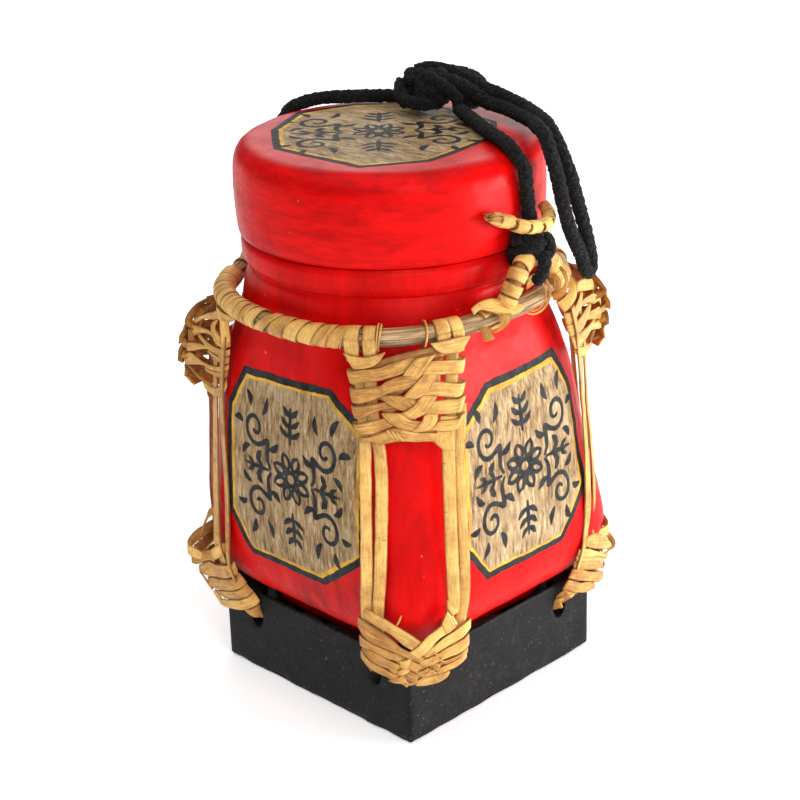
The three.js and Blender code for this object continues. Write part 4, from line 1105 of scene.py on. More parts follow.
    "RT5": [(16.7, 37.5, 16.4, 36.2, 0.5), (13.6, 36.9, 15.5, 34.5, 0.5), (10.5, 36.5, 12, 32.5, 0.5), (7.3, 35.7, 7.9, 31.8, 0.5), (5.1, 34.7, 5.1, 31.6, 0.5), (2.6, 32.5, 2.7, 31.9, 0.5)],
}
# strips seen on the box's left and right: (t, out, z of one edge, out, z of the other)
LEFT_WEAVE = {
    "Sa": [(15, 74.2, 170.5, 74.5, 166.1), (11, 78.0, 168.0, 77.8, 164.7), (6, 82.0, 165.0, 80.8, 163.2), (3, 84.9, 162.9, 83.3, 161.7), (0.5, 86.7, 160.9, 86.0, 158.6)],
    "FB1": [(0, 86.7, 160.7, 86.7, 158.4), (-4, 84.5, 158.2, 84.7, 155.9), (-11, 81.6, 153.2, 81.8, 150.9), (-16, 79.3, 149.4, 79.4, 146.7)],
    "Sb": [(1, 87.8, 159.3, 86.9, 153.6), (4, 85.0, 159.6, 84.4, 155.8), (8, 81.7, 159.9, 81.9, 157.7), (11, 78.9, 159.8, 79.1, 158.1), (13.5, 76.3, 159.2, 76.5, 156.5)],
    "Fold": [(0, 89.2, 156.7, 87.7, 156.6), (0.5, 89.5, 154.2, 87.2, 154.1), (1.5, 89.4, 151.8, 86.2, 151.3)],
    "Se": [(1, 90.5, 151.2, 90.0, 146.9), (4, 87.2, 152.4, 87.0, 148.4), (7, 83.9, 152.7, 83.7, 150.0), (10, 80.8, 152.6, 80.4, 151.0), (12.5, 78.1, 151.7, 77.8, 149.9)],
    "SeTip": [(-0.5, 90.8, 151.1, 89.6, 151.1), (0, 91.1, 149.0, 90.1, 149.0), (1, 90.6, 147.1, 88.9, 147.1)],
    "Sc": [(5, 83.9, 156.5, 84.8, 155.3), (8, 82.0, 155.4, 82.8, 153.7), (11.5, 79.7, 154.5, 80.3, 152.0), (14.5, 77.4, 154.0, 77.6, 151.1), (17, 74.7, 153.8, 74.9, 150.6), (18.8, 72.0, 154.0, 72.2, 150.8), (19, 70.3, 154.4, 70.5, 151.7)],
    "Sd": [(11, 80.3, 152.1, 80.0, 150.3), (13.5, 78.1, 150.7, 78.2, 148.7), (16.5, 75.4, 150.2, 75.5, 147.8), (18.6, 72.7, 150.8, 72.9, 147.4), (19, 70.8, 151.1, 71.1, 148.2)],
    "Sg": [(0.5, 91.8, 145.6, 91.3, 140.8), (2.5, 88.9, 147.2, 88.5, 141.4), (6, 85.7, 146.2, 85.5, 142.8), (9, 83.0, 145.3, 83.1, 143.8), (12.5, 79.8, 145.0, 80.3, 143.2), (16, 76.5, 145.6, 77.1, 143.6), (18.4, 73.8, 146.5, 74.4, 144.0), (19, 71.2, 147.7, 71.5, 145.1)],
    "Sh": [(10, 82.0, 143.6, 81.7, 141.3), (13, 79.4, 143.1, 79.2, 141.1), (16, 76.7, 143.4, 76.4, 140.9), (18.4, 73.9, 144.1, 74.1, 141.0), (19, 71.8, 144.9, 72.2, 141.9)],
    "Si": [(0, 89.6, 140.4, 91.1, 140.5), (2, 87.1, 138.0, 88.7, 138.3), (5, 84.4, 136.4, 86.0, 136.6), (8, 81.6, 135.6, 83.1, 135.3), (11, 78.9, 135.3, 80.2, 134.4), (14, 76.0, 136.0, 76.6, 134.2)],
    "FB2": [(0, 88.2, 155.8, 88.0, 152.6), (-5, 85.0, 151.9, 85.3, 148.8), (-13, 81.0, 146.0, 82.0, 142.8), (-17, 78.5, 142.6, 79.1, 139.3)],
    "FB3": [(0, 89.6, 147.2, 89.3, 145.3), (-5, 86.5, 143.5, 86.2, 140.5), (-13, 83.2, 137.8, 83.4, 134.5), (-17, 79.9, 134.2, 80.1, 130.5)],
    "FB4": [(0, 90.5, 140.8, 90.1, 139.4), (-4, 88.0, 138.0, 87.8, 135.0), (-9, 86.2, 133.9, 85.5, 130.1), (-14, 83.4, 129.4, 83.7, 125.7)],
    "Sj": [(6, 83.9, 135.2, 82.9, 131.5), (10, 81.1, 134.8, 81.3, 131.7), (14, 78.2, 135.4, 78.9, 131.5), (17, 75.7, 137.0, 76.5, 132.0), (18.8, 73.8, 139.4, 73.9, 134.7), (19, 72.5, 141.7, 72.6, 137.5)],
    "Bul": [(7, 82.5, 131.5, 81.1, 131.0), (9, 82.1, 129.5, 80.4, 129.7), (11, 80.1, 128.5, 79.5, 128.6)],
    "U": [(14, 75.0, 166.0, 74.6, 165.3), (14.5, 77.1, 165.3, 75.6, 164.2), (15, 78.2, 163.3, 76.3, 162.4), (16, 78.1, 160.6, 75.6, 161.0), (17, 77.1, 157.8, 74.3, 159.8), (18, 75.3, 155.5, 72.6, 159.2), (19, 72.8, 154.7, 70.5, 159.1), (19.3, 70.5, 155.4, 69.7, 158.7)],
    "Ph": [(18, 74.1, 167.0, 70.0, 166.4), (18.8, 74.1, 163.7, 70.0, 163.2), (19.2, 73.9, 160.4, 69.8, 159.8), (19.0, 73.8, 155.8, 70.0, 155.7)],
    "F": [(14.5, 74.8, 171.9, 74.6, 165.7), (16.5, 72.9, 170.3, 72.4, 165.3), (18.5, 70.3, 169.7, 70.1, 165.9), (20, 68.1, 169.5, 68.3, 167.1), (21, 65.7, 169.1, 66.0, 168.6)],
    "V": [(12, 75.2, 174.5, 74.2, 174.9), (12.6, 75.6, 171.6, 74.5, 171.6), (13, 75.5, 168.9, 75.0, 168.5)],
}
LEFT_POSTS = {
    "a": [(-13, 84.0, 118.6, 82.9, 118.5), (-13, 85.0, 99.5, 84.0, 99.5), (-13, 86.0, 80.2, 85.1, 80.2), (-13, 85.8, 67.9, 85.0, 67.9)],
    "b": [(13, 79.2, 130.2, 77.3, 130.1), (13, 80.5, 110.9, 78.4, 110.8), (13, 82.0, 87.4, 79.6, 87.3), (13, 82.8, 73.1, 80.1, 73.0), (13, 83.3, 60.5, 80.0, 60.9)],
    "c": [(18.5, 76.1, 132.4, 74.2, 133.2), (18.5, 76.5, 113.2, 74.6, 113.1), (18.5, 76.6, 89.8, 74.8, 89.8), (18.5, 77.4, 70.8, 75.5, 70.8), (18.5, 77.8, 54.4, 76.2, 55.3)],
}
LEFT_LASH = {
    "L1": [(9, 84.2, 57.1, 84.0, 50.4), (6, 87.0, 55.4, 86.5, 50.1), (3.5, 89.5, 53.8, 89.5, 48.2), (1.2, 92.5, 52.1, 92.5, 45.9), (0, 95.1, 50.9, 95.1, 45.9)],
    "L2": [(0.5, 91.9, 45.3, 91.9, 41.8), (2.5, 89.6, 47.3, 89.6, 41.3), (5.5, 87.0, 49.5, 86.6, 41.8), (9, 84.5, 50.0, 83.6, 43.2), (13, 81.4, 51.3, 80.6, 44.6), (16.5, 78.5, 52.9, 77.6, 46.4), (18.6, 75.8, 54.2, 74.6, 48.7), (18, 74.9, 55.8, 73.3, 50.6)],
    "L3b": [(0.5, 90.7, 40.5, 92.1, 41.9), (2, 88.5, 38.2, 89.6, 37.8), (4, 86.0, 35.2, 86.8, 34.2)],
    "L3": [(3.5, 88.2, 40.8, 87.1, 36.5), (6, 85.7, 41.8, 84.9, 36.1), (9.5, 83.1, 43.0, 81.7, 37.0), (13.5, 80.1, 44.5, 77.8, 38.6), (17, 77.1, 46.3, 74.4, 40.7), (18.8, 74.2, 48.4, 71.0, 43.1), (18.2, 72.9, 50.0, 69.7, 44.7)],
    "L4b": [(4, 85.0, 34.7, 86.1, 33.2), (6, 83.2, 32.7, 84.6, 31.2), (8, 81.8, 31.2, 83.3, 30.3)],
    "L4": [(6, 84.3, 35.2, 82.7, 32.7), (9, 81.8, 36.5, 79.8, 32.5), (13, 78.3, 38.3, 76.4, 33.9), (17, 74.8, 40.5, 72.9, 36.0), (19, 71.5, 43.2, 68.5, 39.4), (18.4, 70.1, 44.6, 67.1, 40.8)],
    "L5": [(7, 83.4, 31.5, 82.9, 28.7), (10, 80.6, 32.6, 80.2, 28.7), (14, 77.2, 34.3, 76.5, 29.8), (17.5, 73.7, 36.2, 72.7, 31.1), (19, 70.9, 37.8, 69.2, 32.5), (18.6, 68.4, 39.2, 65.7, 34.0), (18, 67.1, 40.6, 64.5, 35.6)],
    "L6": [(17, 71.8, 31.5, 70.6, 29.8), (18, 69.1, 32.0, 68.4, 28.2), (17.5, 66.4, 33.2, 66.6, 27.1), (15.5, 64.8, 33.0, 64.4, 27.4), (14, 64.3, 31.7, 63.5, 29.1)],
    "R1": [(18, 75.6, 55.1, 76.2, 53.1), (18.2, 73.7, 51.0, 74.3, 48.5), (18.2, 71.3, 47.7, 72.5, 45.5), (18, 69.8, 45.1, 71.3, 42.9)],
    "R2": [(17.8, 70.0, 44.5, 71.7, 42.9), (17.4, 68.2, 40.8, 69.4, 39.6), (16.6, 66.3, 37.3, 67.7, 35.4), (15.4, 64.4, 33.0, 65.7, 32.3)],
    "wrap": [(10, 85.0, 57.6, 84.6, 53.7), (13.5, 83.2, 60.5, 83.2, 54.2), (14.6, 81.1, 62.1, 81.1, 55.6), (14, 79.2, 62.7, 79.2, 56.9), (11.5, 78.5, 61.1, 78.6, 56.2)],
    "loop": [(9, 82.9, 77.9, 82.7, 74.5), (6, 85.3, 75.1, 84.2, 72.1), (4, 86.9, 70.8, 86.3, 69.3), (2, 89.1, 65.0, 88.4, 64.2), (1, 91.0, 59.1, 90.3, 58.6), (0.5, 92.4, 54.0, 91.8, 53.5), (0.5, 92.8, 51.8, 92.2, 51.3)],
    "loop2": [(9, 83.7, 61.9, 83.6, 61.0), (7, 86.1, 58.6, 85.9, 57.6), (4, 88.5, 55.2, 88.3, 54.2), (2, 90.6, 52.9, 90.5, 52.2)],
}
RIGHT_WEAVE = {
    "W1": [(-14, 68.0, 180.0, 69.8, 181.9), (-15.5, 69.5, 177.7, 71.9, 180.0), (-17, 70.0, 175.8, 73.1, 177.5), (-18.5, 69.3, 174.6, 73.5, 174.5), (-19.5, 67.7, 173.1, 72.5, 171.4), (-20, 66.1, 172.2, 70.4, 168.8), (-20, 64.6, 171.4, 68.3, 166.5)],
    "W2": [(-9, 67.5, 181.4, 67.1, 179.6), (-10, 69.5, 180.8, 69.3, 179.0), (-12, 71.4, 180.2, 71.0, 177.9), (-14, 72.9, 179.2, 72.1, 176.9), (-15, 74.1, 177.2, 73.0, 175.0)],
    "Ear": [(-11, 73.6, 176.2, 73.8, 172.0), (-9, 75.4, 176.8, 75.9, 171.7), (-6.5, 77.7, 176.5, 78.2, 171.0), (-3.5, 80.2, 175.7, 80.4, 170.3), (0, 81.6, 173.0, 81.5, 169.0), (3, 81.1, 171.1, 81.0, 166.6), (6, 78.9, 168.7, 78.5, 163.8), (9, 76.6, 166.0, 76.7, 161.0)],
    "N2": [(-19.6, 67.6, 166.6, 69.0, 161.0), (-18.6, 69.7, 166.2, 70.9, 160.8), (-17, 71.5, 166.8, 72.7, 162.0), (-15, 73.0, 167.8, 74.1, 163.6), (-13, 74.2, 169.4, 75.3, 165.9), (-11, 75.0, 170.9, 76.1, 168.7), (-9, 75.4, 171.6, 76.7, 171.2)],
    "N3": [(-19.6, 68.8, 161.0, 70.3, 155.8), (-18.4, 71.1, 161.1, 72.6, 155.6), (-16.4, 73.2, 161.2, 74.9, 156.3), (-14, 75.2, 162.5, 77.0, 158.4), (-11.5, 76.9, 164.0, 78.6, 161.3), (-9, 78.4, 165.0, 79.7, 163.4), (-7, 79.3, 165.5, 80.4, 165.1)],
    "N4": [(-19.2, 70.5, 155.8, 72.6, 149.7), (-18, 72.7, 155.9, 74.0, 150.3), (-16, 74.8, 156.2, 75.8, 151.0), (-13.5, 76.8, 156.6, 77.8, 152.5), (-11, 78.7, 157.3, 79.5, 154.5), (-8.5, 80.3, 158.1, 81.0, 156.5), (-7, 81.1, 158.4, 82.1, 158.1)],
    "N5": [(-18.5, 72.3, 149.6, 73.5, 147.2), (-16, 74.5, 149.3, 75.4, 145.5), (-12, 77.0, 148.8, 77.3, 144.2), (-8, 79.0, 148.0, 79.1, 144.9), (-5, 80.6, 148.2, 80.6, 146.2)],
    "N5b": [(-15, 74.9, 147.1, 75.1, 146.2), (-13, 76.1, 145.4, 76.8, 143.6), (-11, 77.1, 144.1, 77.8, 142.1)],
    "T1": [(-10, 75.4, 167.4, 75.4, 164.8), (-8.5, 76.8, 168.2, 77.2, 165.3), (-6, 79.1, 168.8, 79.5, 165.3), (-3, 81.4, 168.7, 81.9, 163.8), (-0.5, 84.0, 166.6, 84.1, 164.2), (0.5, 84.8, 164.7, 84.8, 161.6)],
    "T2": [(-10, 77.3, 161.6, 77.5, 159.0), (-7.5, 79.4, 162.2, 79.4, 158.6), (-4, 81.8, 162.1, 82.1, 157.3), (-1, 84.2, 162.0, 84.7, 156.8), (0.5, 85.0, 160.2, 85.1, 157.5)],
    "T3": [(-8, 79.4, 155.5, 79.4, 153.7), (-5, 81.5, 156.3, 81.6, 153.1), (-2.5, 83.3, 156.5, 83.6, 152.4), (-0.5, 84.8, 156.7, 84.9, 152.0)],
    "T4": [(0, 81.3, 151.1, 83.0, 151.0), (-0.5, 80.8, 149.5, 82.1, 149.0), (-1, 80.3, 146.9, 81.1, 146.5), (-2, 79.4, 145.5, 80.0, 145.1)],
    "FR1": [(0, 81.5, 171.2, 81.5, 168.1), (6, 78.9, 166.5, 78.9, 163.6), (12, 76.1, 163.1, 76.1, 159.5), (17, 73.9, 159.1, 73.5, 155.5)],
    "FR2": [(0, 84.7, 165.8, 84.7, 163.1), (4, 83.0, 161.7, 82.6, 159.0), (10, 79.7, 158.3, 79.3, 154.7), (16, 76.5, 153.9, 76.5, 150.2)],
    "FR3": [(0, 85.0, 160.9, 85.0, 157.3), (4, 83.5, 156.7, 82.6, 154.0), (10, 80.6, 152.3, 80.2, 148.7), (16, 77.8, 147.4, 77.8, 144.2)],
    "FR4": [(0, 84.9, 156.4, 85.0, 151.9), (4, 83.9, 151.3, 83.1, 148.1), (9, 81.9, 147.2, 81.1, 143.1)],
    "Ed": [(-17, 67.3, 171.1, 66.1, 170.3), (-17, 69.0, 165.8, 67.6, 164.9), (-17, 70.7, 159.6, 69.4, 158.7), (-17, 72.4, 153.3, 71.1, 152.5)],
}
RIGHT_POSTS = {
    "c": [(-17, 73.5, 150.6, 74.9, 150.6), (-17, 74.5, 139.8, 75.8, 139.8), (-17, 75.4, 126.2, 76.9, 126.2), (-17, 76.6, 107.8, 78.3, 107.8), (-17, 77.2, 89.1, 79.7, 89.0), (-17, 77.1, 74.9, 79.9, 74.8), (-17, 76.7, 65.3, 79.1, 65.2), (-17, 75.9, 56.2, 78.0, 56.1)],
    "b": [(-11, 77.0, 142.8, 78.0, 142.7), (-11, 77.9, 123.6, 78.9, 123.6), (-11, 79.7, 105.1, 80.8, 105.0), (-11, 80.9, 86.2, 82.2, 86.2), (-11, 81.2, 69.5, 82.6, 69.4), (-11, 80.6, 59.8, 82.3, 59.7)],
}
RIGHT_LASH = {
    "B1": [(-17, 78.2, 61.9, 77.4, 57.4), (-14, 80.3, 61.8, 80.1, 55.0), (-10.5, 82.5, 60.6, 83.0, 52.7), (-6, 85.2, 57.6, 86.1, 50.2), (-2, 87.6, 54.6, 89.2, 48.1), (0, 89.3, 51.8, 90.7, 47.8)],
    "Bl": [(2, 88.0, 53.3, 88.2, 56.7), (3, 89.6, 50.8, 90.8, 53.5), (1.5, 90.9, 49.0, 92.7, 50.5), (0, 90.9, 48.1, 92.5, 48.5), (-2, 88.9, 47.9, 90.2, 47.7)],
    "B2": [(-18.4, 75.1, 56.9, 74.2, 53.6), (-16, 78.1, 55.9, 77.3, 51.5), (-12, 81.1, 53.3, 81.2, 49.5), (-8, 84.2, 50.1, 84.6, 47.9), (-3, 87.3, 47.0, 87.8, 44.2), (-0.5, 89.4, 46.6, 88.5, 42.4)],
    "B3": [(-18.4, 73.8, 53.5, 73.8, 51.1), (-16, 77.3, 51.7, 77.3, 49.6), (-12, 81.2, 49.7, 81.2, 47.6), (-7, 84.7, 47.4, 85.2, 44.9), (-3, 86.9, 44.4, 87.2, 42.5)],
    "B4": [(-18.4, 73.0, 51.1, 72.5, 47.9), (-16, 76.4, 49.9, 76.0, 45.9), (-12, 80.3, 47.9, 79.9, 43.3), (-7, 83.9, 45.4, 83.9, 40.9), (-3, 86.2, 42.3, 86.5, 39.8)],
    "B4l": [(-4, 85.3, 45.0, 85.7, 43.8), (-1, 87.8, 41.7, 87.0, 41.2), (0, 87.9, 38.7, 87.1, 39.2), (-1, 86.5, 38.0, 86.3, 38.9)],
    "B5": [(-18, 72.2, 47.2, 70.4, 42.5), (-15.4, 75.6, 46.2, 74.4, 39.9), (-12, 79.0, 42.9, 78.2, 37.8), (-8, 82.5, 40.3, 81.7, 35.3), (-4, 85.4, 38.5, 84.7, 32.9), (-1, 86.9, 35.8, 86.5, 33.1)],
    "B5c": [(0, 85.2, 36.0, 87.3, 36.0), (1, 86.3, 33.7, 87.6, 33.2), (0, 86.0, 31.8, 86.9, 32.2)],
    "B6": [(-17.6, 70.5, 41.8, 67.9, 37.2), (-15.4, 73.5, 39.8, 71.3, 34.7), (-12.5, 76.4, 37.4, 74.7, 32.5), (-9, 78.9, 36.0, 78.1, 30.5), (-5.5, 81.3, 34.0, 81.0, 29.5), (-3, 83.3, 31.4, 82.9, 29.4)],
    "B7": [(-17, 67.8, 37.0, 69.4, 34.1), (-15, 70.0, 35.0, 71.8, 32.7), (-12, 72.9, 32.5, 74.7, 31.7)],
    "B8": [(-13, 72.0, 32.8, 73.7, 31.7), (-15.2, 69.6, 33.1, 71.4, 31.0), (-16.6, 67.5, 32.4, 68.6, 31.0), (-17, 65.5, 32.0, 65.9, 30.7)],
}

EYE_STRIPS = {
    "f1": [(64.1, -24.0, 184.9, 65.6, -24.0, 182.5), (64.4, -22.0, 186.0, 67.0, -22.0, 184.4), (65.3, -19.5, 187.2, 70.0, -19.5, 183.8), (66.3, -16.0, 187.5, 71.5, -16.0, 181.9), (67.4, -12.0, 186.4, 72.6, -12.0, 180.4), (69.0, -8.0, 184.7, 73.2, -8.0, 180.0), (69.7, -3.5, 183.0, 71.8, -3.5, 179.7), (68.7, 0.0, 180.9, 69.8, 0.0, 179.5)],
    "f2": [(69.7, -14.0, 181.7, 76.0, -14.0, 183.2), (68.2, -13.0, 179.0, 74.8, -13.0, 180.0), (65.9, -12.0, 176.1, 72.5, -12.0, 177.1), (63.4, -11.0, 172.9, 69.0, -11.0, 174.0), (60.5, -9.0, 170.7, 63.9, -9.0, 170.9)],
    "tab": [(65.9, -21.5, 177.1, 71.2, -21.5, 178.8), (66.9, -21.8, 175.8, 72.0, -21.8, 177.4), (68.3, -22.2, 173.9, 73.6, -22.2, 176.1), (69.7, -22.6, 172.1, 75.1, -22.6, 174.9)],
    "in": [(67.5, 5.0, 191.0, 67.0, 5.0, 185.5), (68.0, 8.0, 191.8, 67.0, 8.0, 186.2), (68.5, 11.5, 192.2, 67.3, 11.5, 187.6), (67.9, 13.0, 191.1, 67.9, 13.0, 189.4)],
    "l1": [(70.8, 9.0, 192.8, 71.9, 9.0, 193.0), (72.1, 9.6, 190.8, 73.1, 9.6, 191.5), (73.2, 10.5, 187.9, 74.4, 10.5, 188.6), (73.6, 11.0, 184.5, 74.8, 11.0, 184.5), (73.9, 10.0, 181.9, 75.2, 10.0, 181.8), (73.8, 8.0, 179.6, 74.8, 8.0, 179.1), (73.8, 5.0, 178.3, 74.3, 5.0, 177.5), (73.0, 2.0, 177.8, 73.1, 2.0, 177.2), (72.1, -0.5, 179.1, 71.8, -0.5, 178.4)],
    "l2": [(72.1, 8.4, 189.5, 72.7, 8.4, 189.9), (72.9, 9.4, 186.5, 73.5, 9.4, 186.8), (73.2, 9.4, 183.2, 73.9, 9.4, 183.2), (73.1, 8.0, 180.6, 73.7, 8.0, 180.2), (72.7, 5.4, 178.8, 73.1, 5.4, 178.4), (72.2, 2.0, 178.7, 72.3, 2.0, 178.1)],
    "w3": [(74.7, 16.0, 193.5, 75.7, 16.0, 194.5), (77.8, 15.0, 191.7, 79.2, 15.0, 193.1), (78.8, 15.0, 189.2, 80.5, 15.0, 189.6), (76.8, 16.0, 186.1, 79.2, 16.0, 185.9), (74.1, 17.0, 183.8, 76.7, 17.0, 182.3), (70.5, 18.5, 181.7, 72.6, 18.5, 179.3), (67.6, 20.0, 180.0, 69.0, 20.0, 177.3)],
    "w4": [(64.1, 21.0, 187.3, 65.2, 21.0, 188.5), (67.8, 20.0, 187.5, 69.7, 20.0, 188.8), (70.2, 19.4, 186.1, 72.7, 19.4, 186.8), (70.4, 19.4, 183.8, 72.7, 19.4, 183.7), (68.3, 20.0, 181.4, 69.7, 20.0, 180.7), (65.5, 21.0, 179.7, 66.2, 21.0, 178.4)],
    "c1": [(62.4, 22.0, 185.4, 62.6, 22.0, 185.6), (66.0, 21.0, 186.0, 66.3, 21.0, 186.4), (68.0, 20.4, 184.9, 68.5, 20.4, 185.1), (68.1, 20.4, 183.0, 68.7, 20.4, 182.9)],
}

WRAP_L = ("L1", "L2", "L3", "L4")
WRAP_R = ("R1", "R2", "R3", "R4")
# G, the strip tucked under the fans just below the hoop, takes the darkest tone: painted shade under the hoop
TONES = {"G": 0.02, "S1": 0.55, "L1": 0.42, "R1": 0.62, "L2": 0.35, "S2": 0.6, "R2": 0.66, "L3": 0.3, "F3": 0.5, "S3": 0.58, "R3": 0.7, "L4": 0.48, "F4": 0.45, "S4": 0.72, "R4": 0.62,
         "BAND": 0.5, "FANL": 0.62, "FANR": 0.86, "POSTR_TOP": 0.8, "POSTL_TOP": 0.3, "VL": 0.7, "VR": 0.95, "K": 0.8, "S3END": 0.8}


def edges(name, rows, dt=0.0, dz=0.0):
    A = [on_corner(name, r[0], r[1], r[4]) for r in rows]
    B = [on_corner(name, r[2], r[3], r[4]) for r in rows]
    return A, B


def weave_rows(p, name, near=0):
    """The weave's strips; near = +1 or -1 leaves out the half on that side."""
    keys = ["G", "S1", "L1", "R1", "L2", "S2", "R2", "L3", "F3", "S3", "R3", "L4", "F4", "S4", "R4", "BAND", "FANL", "FANR"]
    for k in keys:
        rows = [list(r) for r in ROWS[k]]
        if k in WRAP_L:
            a = rows[0]
            pre = [[a[0] + 3.2, a[1] - 0.3, a[2] + 3.2, a[3] - 0.3, a[4] - 4.1], [a[0] + 0.6, a[1] - 0.1, a[2] + 0.6, a[3] - 0.1, a[4] - 3.6],
                   [a[0] - 0.75, a[1], a[2] - 0.75, a[3], a[4] - 2.0], [a[0] - 0.55, a[1], a[2] - 0.55, a[3], a[4] - 0.7]]
            a[0] += 0.5
            a[2] += 0.5
            rows = pre + rows
        if k in WRAP_R:
            a = list(rows[0])
            pre = [[a[0] - 3.2, a[1] + 0.6, a[2] - 3.2, a[3] + 0.6, a[4] - 4.1], [a[0] - 0.6, a[1] + 0.3, a[2] - 0.6, a[3] + 0.3, a[4] - 3.6],
                   [a[0] + 0.75, a[1], a[2] + 0.75, a[3], a[4] - 2.0], [a[0] + 0.55, a[1], a[2] + 0.55, a[3], a[4] - 0.7]]
            rows[0][0] -= 0.5
            rows[0][2] -= 0.5
            rows = pre + rows
        if name != "front":
            for r in rows:
                n = mnoise.noise(Vector((CORNERS[name]["deg"], r[0] * 0.05, ord(k[0]) + len(rows)))) * 1.1
                r[1] += n
                r[3] += n
        if k == "FANR" and name != "front":
            for r in rows:
                r[1] -= 3.6
                r[3] -= 3.6
        A, B = edges(name, rows)
        if near:
            T = W(CORNERS[name]["deg"], 1, 0, 0)
            keep = [i for i in range(len(A)) if float(np.dot((A[i] + B[i]) / 2, T)) * near < 0.4]
            runs = [[]]
            for i in keep:
                if runs[-1] and i != runs[-1][-1] + 1:
                    runs.append([])
                runs[-1].append(i)
            run = max(runs, key=len)
            if len(run) < 3:
                continue
            A, B = [A[i] for i in run], [B[i] for i in run]
        ribbon(p, A, B, 0.8, 1.1, TONES[k] + rnd.uniform(-0.06, 0.06), None, rnd.uniform(-0.04, 0.04), lift=0.0)


def corner_weave(name):
    p = Piece()
    weave_rows(p, name)
    if name == "front":
        # small creased folds in the foot band
        for t0, z0 in ((-4.2, 141.2), (-2.4, 140.8), (-0.6, 140.2)):
            q = [W(-45, t0 - 1.4, front_rho(t0, z0) + 1.6, z0 + 2.0), W(-45, t0, front_rho(t0, z0) + 2.3, z0), W(-45, t0 + 1.2, front_rho(t0, z0) + 1.7, z0 - 1.6)]
            strip_on(p, q, W(-45, 1, 0.2, 0.5), 1.3, 0.5, 0.7, tone=0.85, taper=1.0)
    return p.build(f"weave_{name}", M["rattan"], "root", (f"corner_weave_{name}",))


# upright strips: (t, z, rho) from the head down, and their widths
POSTS = {
    "front": [([(-15.9, 166, 74.6), (-15.4, 158, 76.6), (-14.9, 148, 78.8), (-14.4, 139, 80.2), (-14.5, 131, 80.9), (-14.9, 112, 82.0), (-15.2, 96, 82.9), (-15.7, 78, 83.9), (-16.2, 66, 84.6), (-16.2, 56, 84.2), (-15.6, 47, 82.0)], 4.9),
              ([(-11.6, 164, 74.2), (-11.2, 150, 77.4), (-10.0, 141, 79.6), (-8.8, 133, 81.6), (-8.4, 121, 82.2), (-8.8, 108, 82.9), (-9.6, 92, 83.8), (-10.6, 76, 84.8), (-11.5, 66, 85.6), (-11.9, 57, 85.8), (-11.6, 48, 83.8)], 5.1),
              ([(20.6, 172, 73.2), (20.0, 160, 76.0), (19.3, 148, 78.2), (18.2, 138, 79.6), (18.2, 128, 80.4), (18.3, 112, 81.2), (18.5, 95, 82.2), (18.9, 78, 83.4), (18.9, 66.5, 84.4), (18.0, 62.4, 85.2)], 5.3),
              ([(23.6, 150, 76.4), (23.3, 141, 77.6), (22.6, 131, 78.6), (22.9, 112, 79.8), (23.4, 95, 80.6), (23.6, 78, 81.6), (23.0, 66, 82.6), (21.8, 60, 83.0), (20.8, 50, 81.6)], 4.4)],
    "side": [([(-20.4, 163, 71.0), (-20.0, 150, 72.4), (-19.6, 138, 74.6), (-19.4, 124, 76.6), (-19.2, 104, 78.0), (-18.9, 82, 79.0), (-18.6, 62, 79.8), (-18.2, 50, 79.0), (-17.6, 42, 76.0)], 4.6),
             ([(-13.6, 163, 74.6), (-13.6, 150, 76.4), (-13.8, 138, 78.0), (-13.9, 124, 79.6), (-13.8, 104, 81.0), (-13.4, 82, 82.2), (-13.2, 62, 83.4), (-13.0, 50, 83.4), (-12.6, 42, 80.6)], 4.9),
             ([(13.6, 163, 74.6), (13.6, 150, 76.4), (13.8, 138, 78.0), (14.0, 124, 79.6), (13.6, 104, 81.0), (13.2, 82, 82.2), (13.0, 62, 83.4), (12.8, 50, 83.4), (12.6, 42, 80.6)], 4.9),
             ([(20.4, 163, 71.0), (20.0, 150, 72.4), (19.6, 138, 74.6), (19.6, 124, 76.6), (19.4, 104, 78.0), (19.2, 82, 79.0), (18.8, 62, 79.8), (18.4, 50, 79.0), (17.6, 42, 76.0)], 4.6)],
}


def corner_posts(name):
    deg = CORNERS[name]["deg"]
    top = CORNERS[name]["z"][1] - 172.0
    for k, (rows, w) in enumerate(POSTS["front" if name == "front" else "side"]):
        p = Piece()
        R = []
        for t, z, r in rows:
            f = max(0.0, (z - 60) / 110)
            bow = 0.5 * math.sin(z * 0.045 + k * 1.9 + deg) if name != "front" else 0.0
            if name == "front":
                under = float(front_rho(t, z)) - 1.75
                r = r if 66 < z < 132 else min(r, under)
            R.append((*W(deg, t + bow, r + 0.2 * math.sin(z * 0.08 + k), z + top * f), 1.0))
        strip_on(p, R, W(deg, 1, 0, 0), w, 1.0, 1.4, tone=0.55 + 0.35 * rnd.random(), wobble=0.03)
        if name == "front" and k == 2:
            # the strip flares where it leaves the weave, and ends in a point over its neighbour
            for key, off in (("POSTR_TOP", 0.25),):
                A, B = edges("front", [list(r[:4]) + [r[4] + off] for r in ROWS[key][4:]])
                ribbon(p, A, B, 0.8, 1.1, 0.75)
            A, B = edges("front", ROWS["S3END"])
            ribbon(p, A, B, 0.9, 1.0, 0.9)
        p.build(f"post_{name}_{k + 1}", M["rattan"], "root", (f"corner_strip_{name}_{k + 1}",))


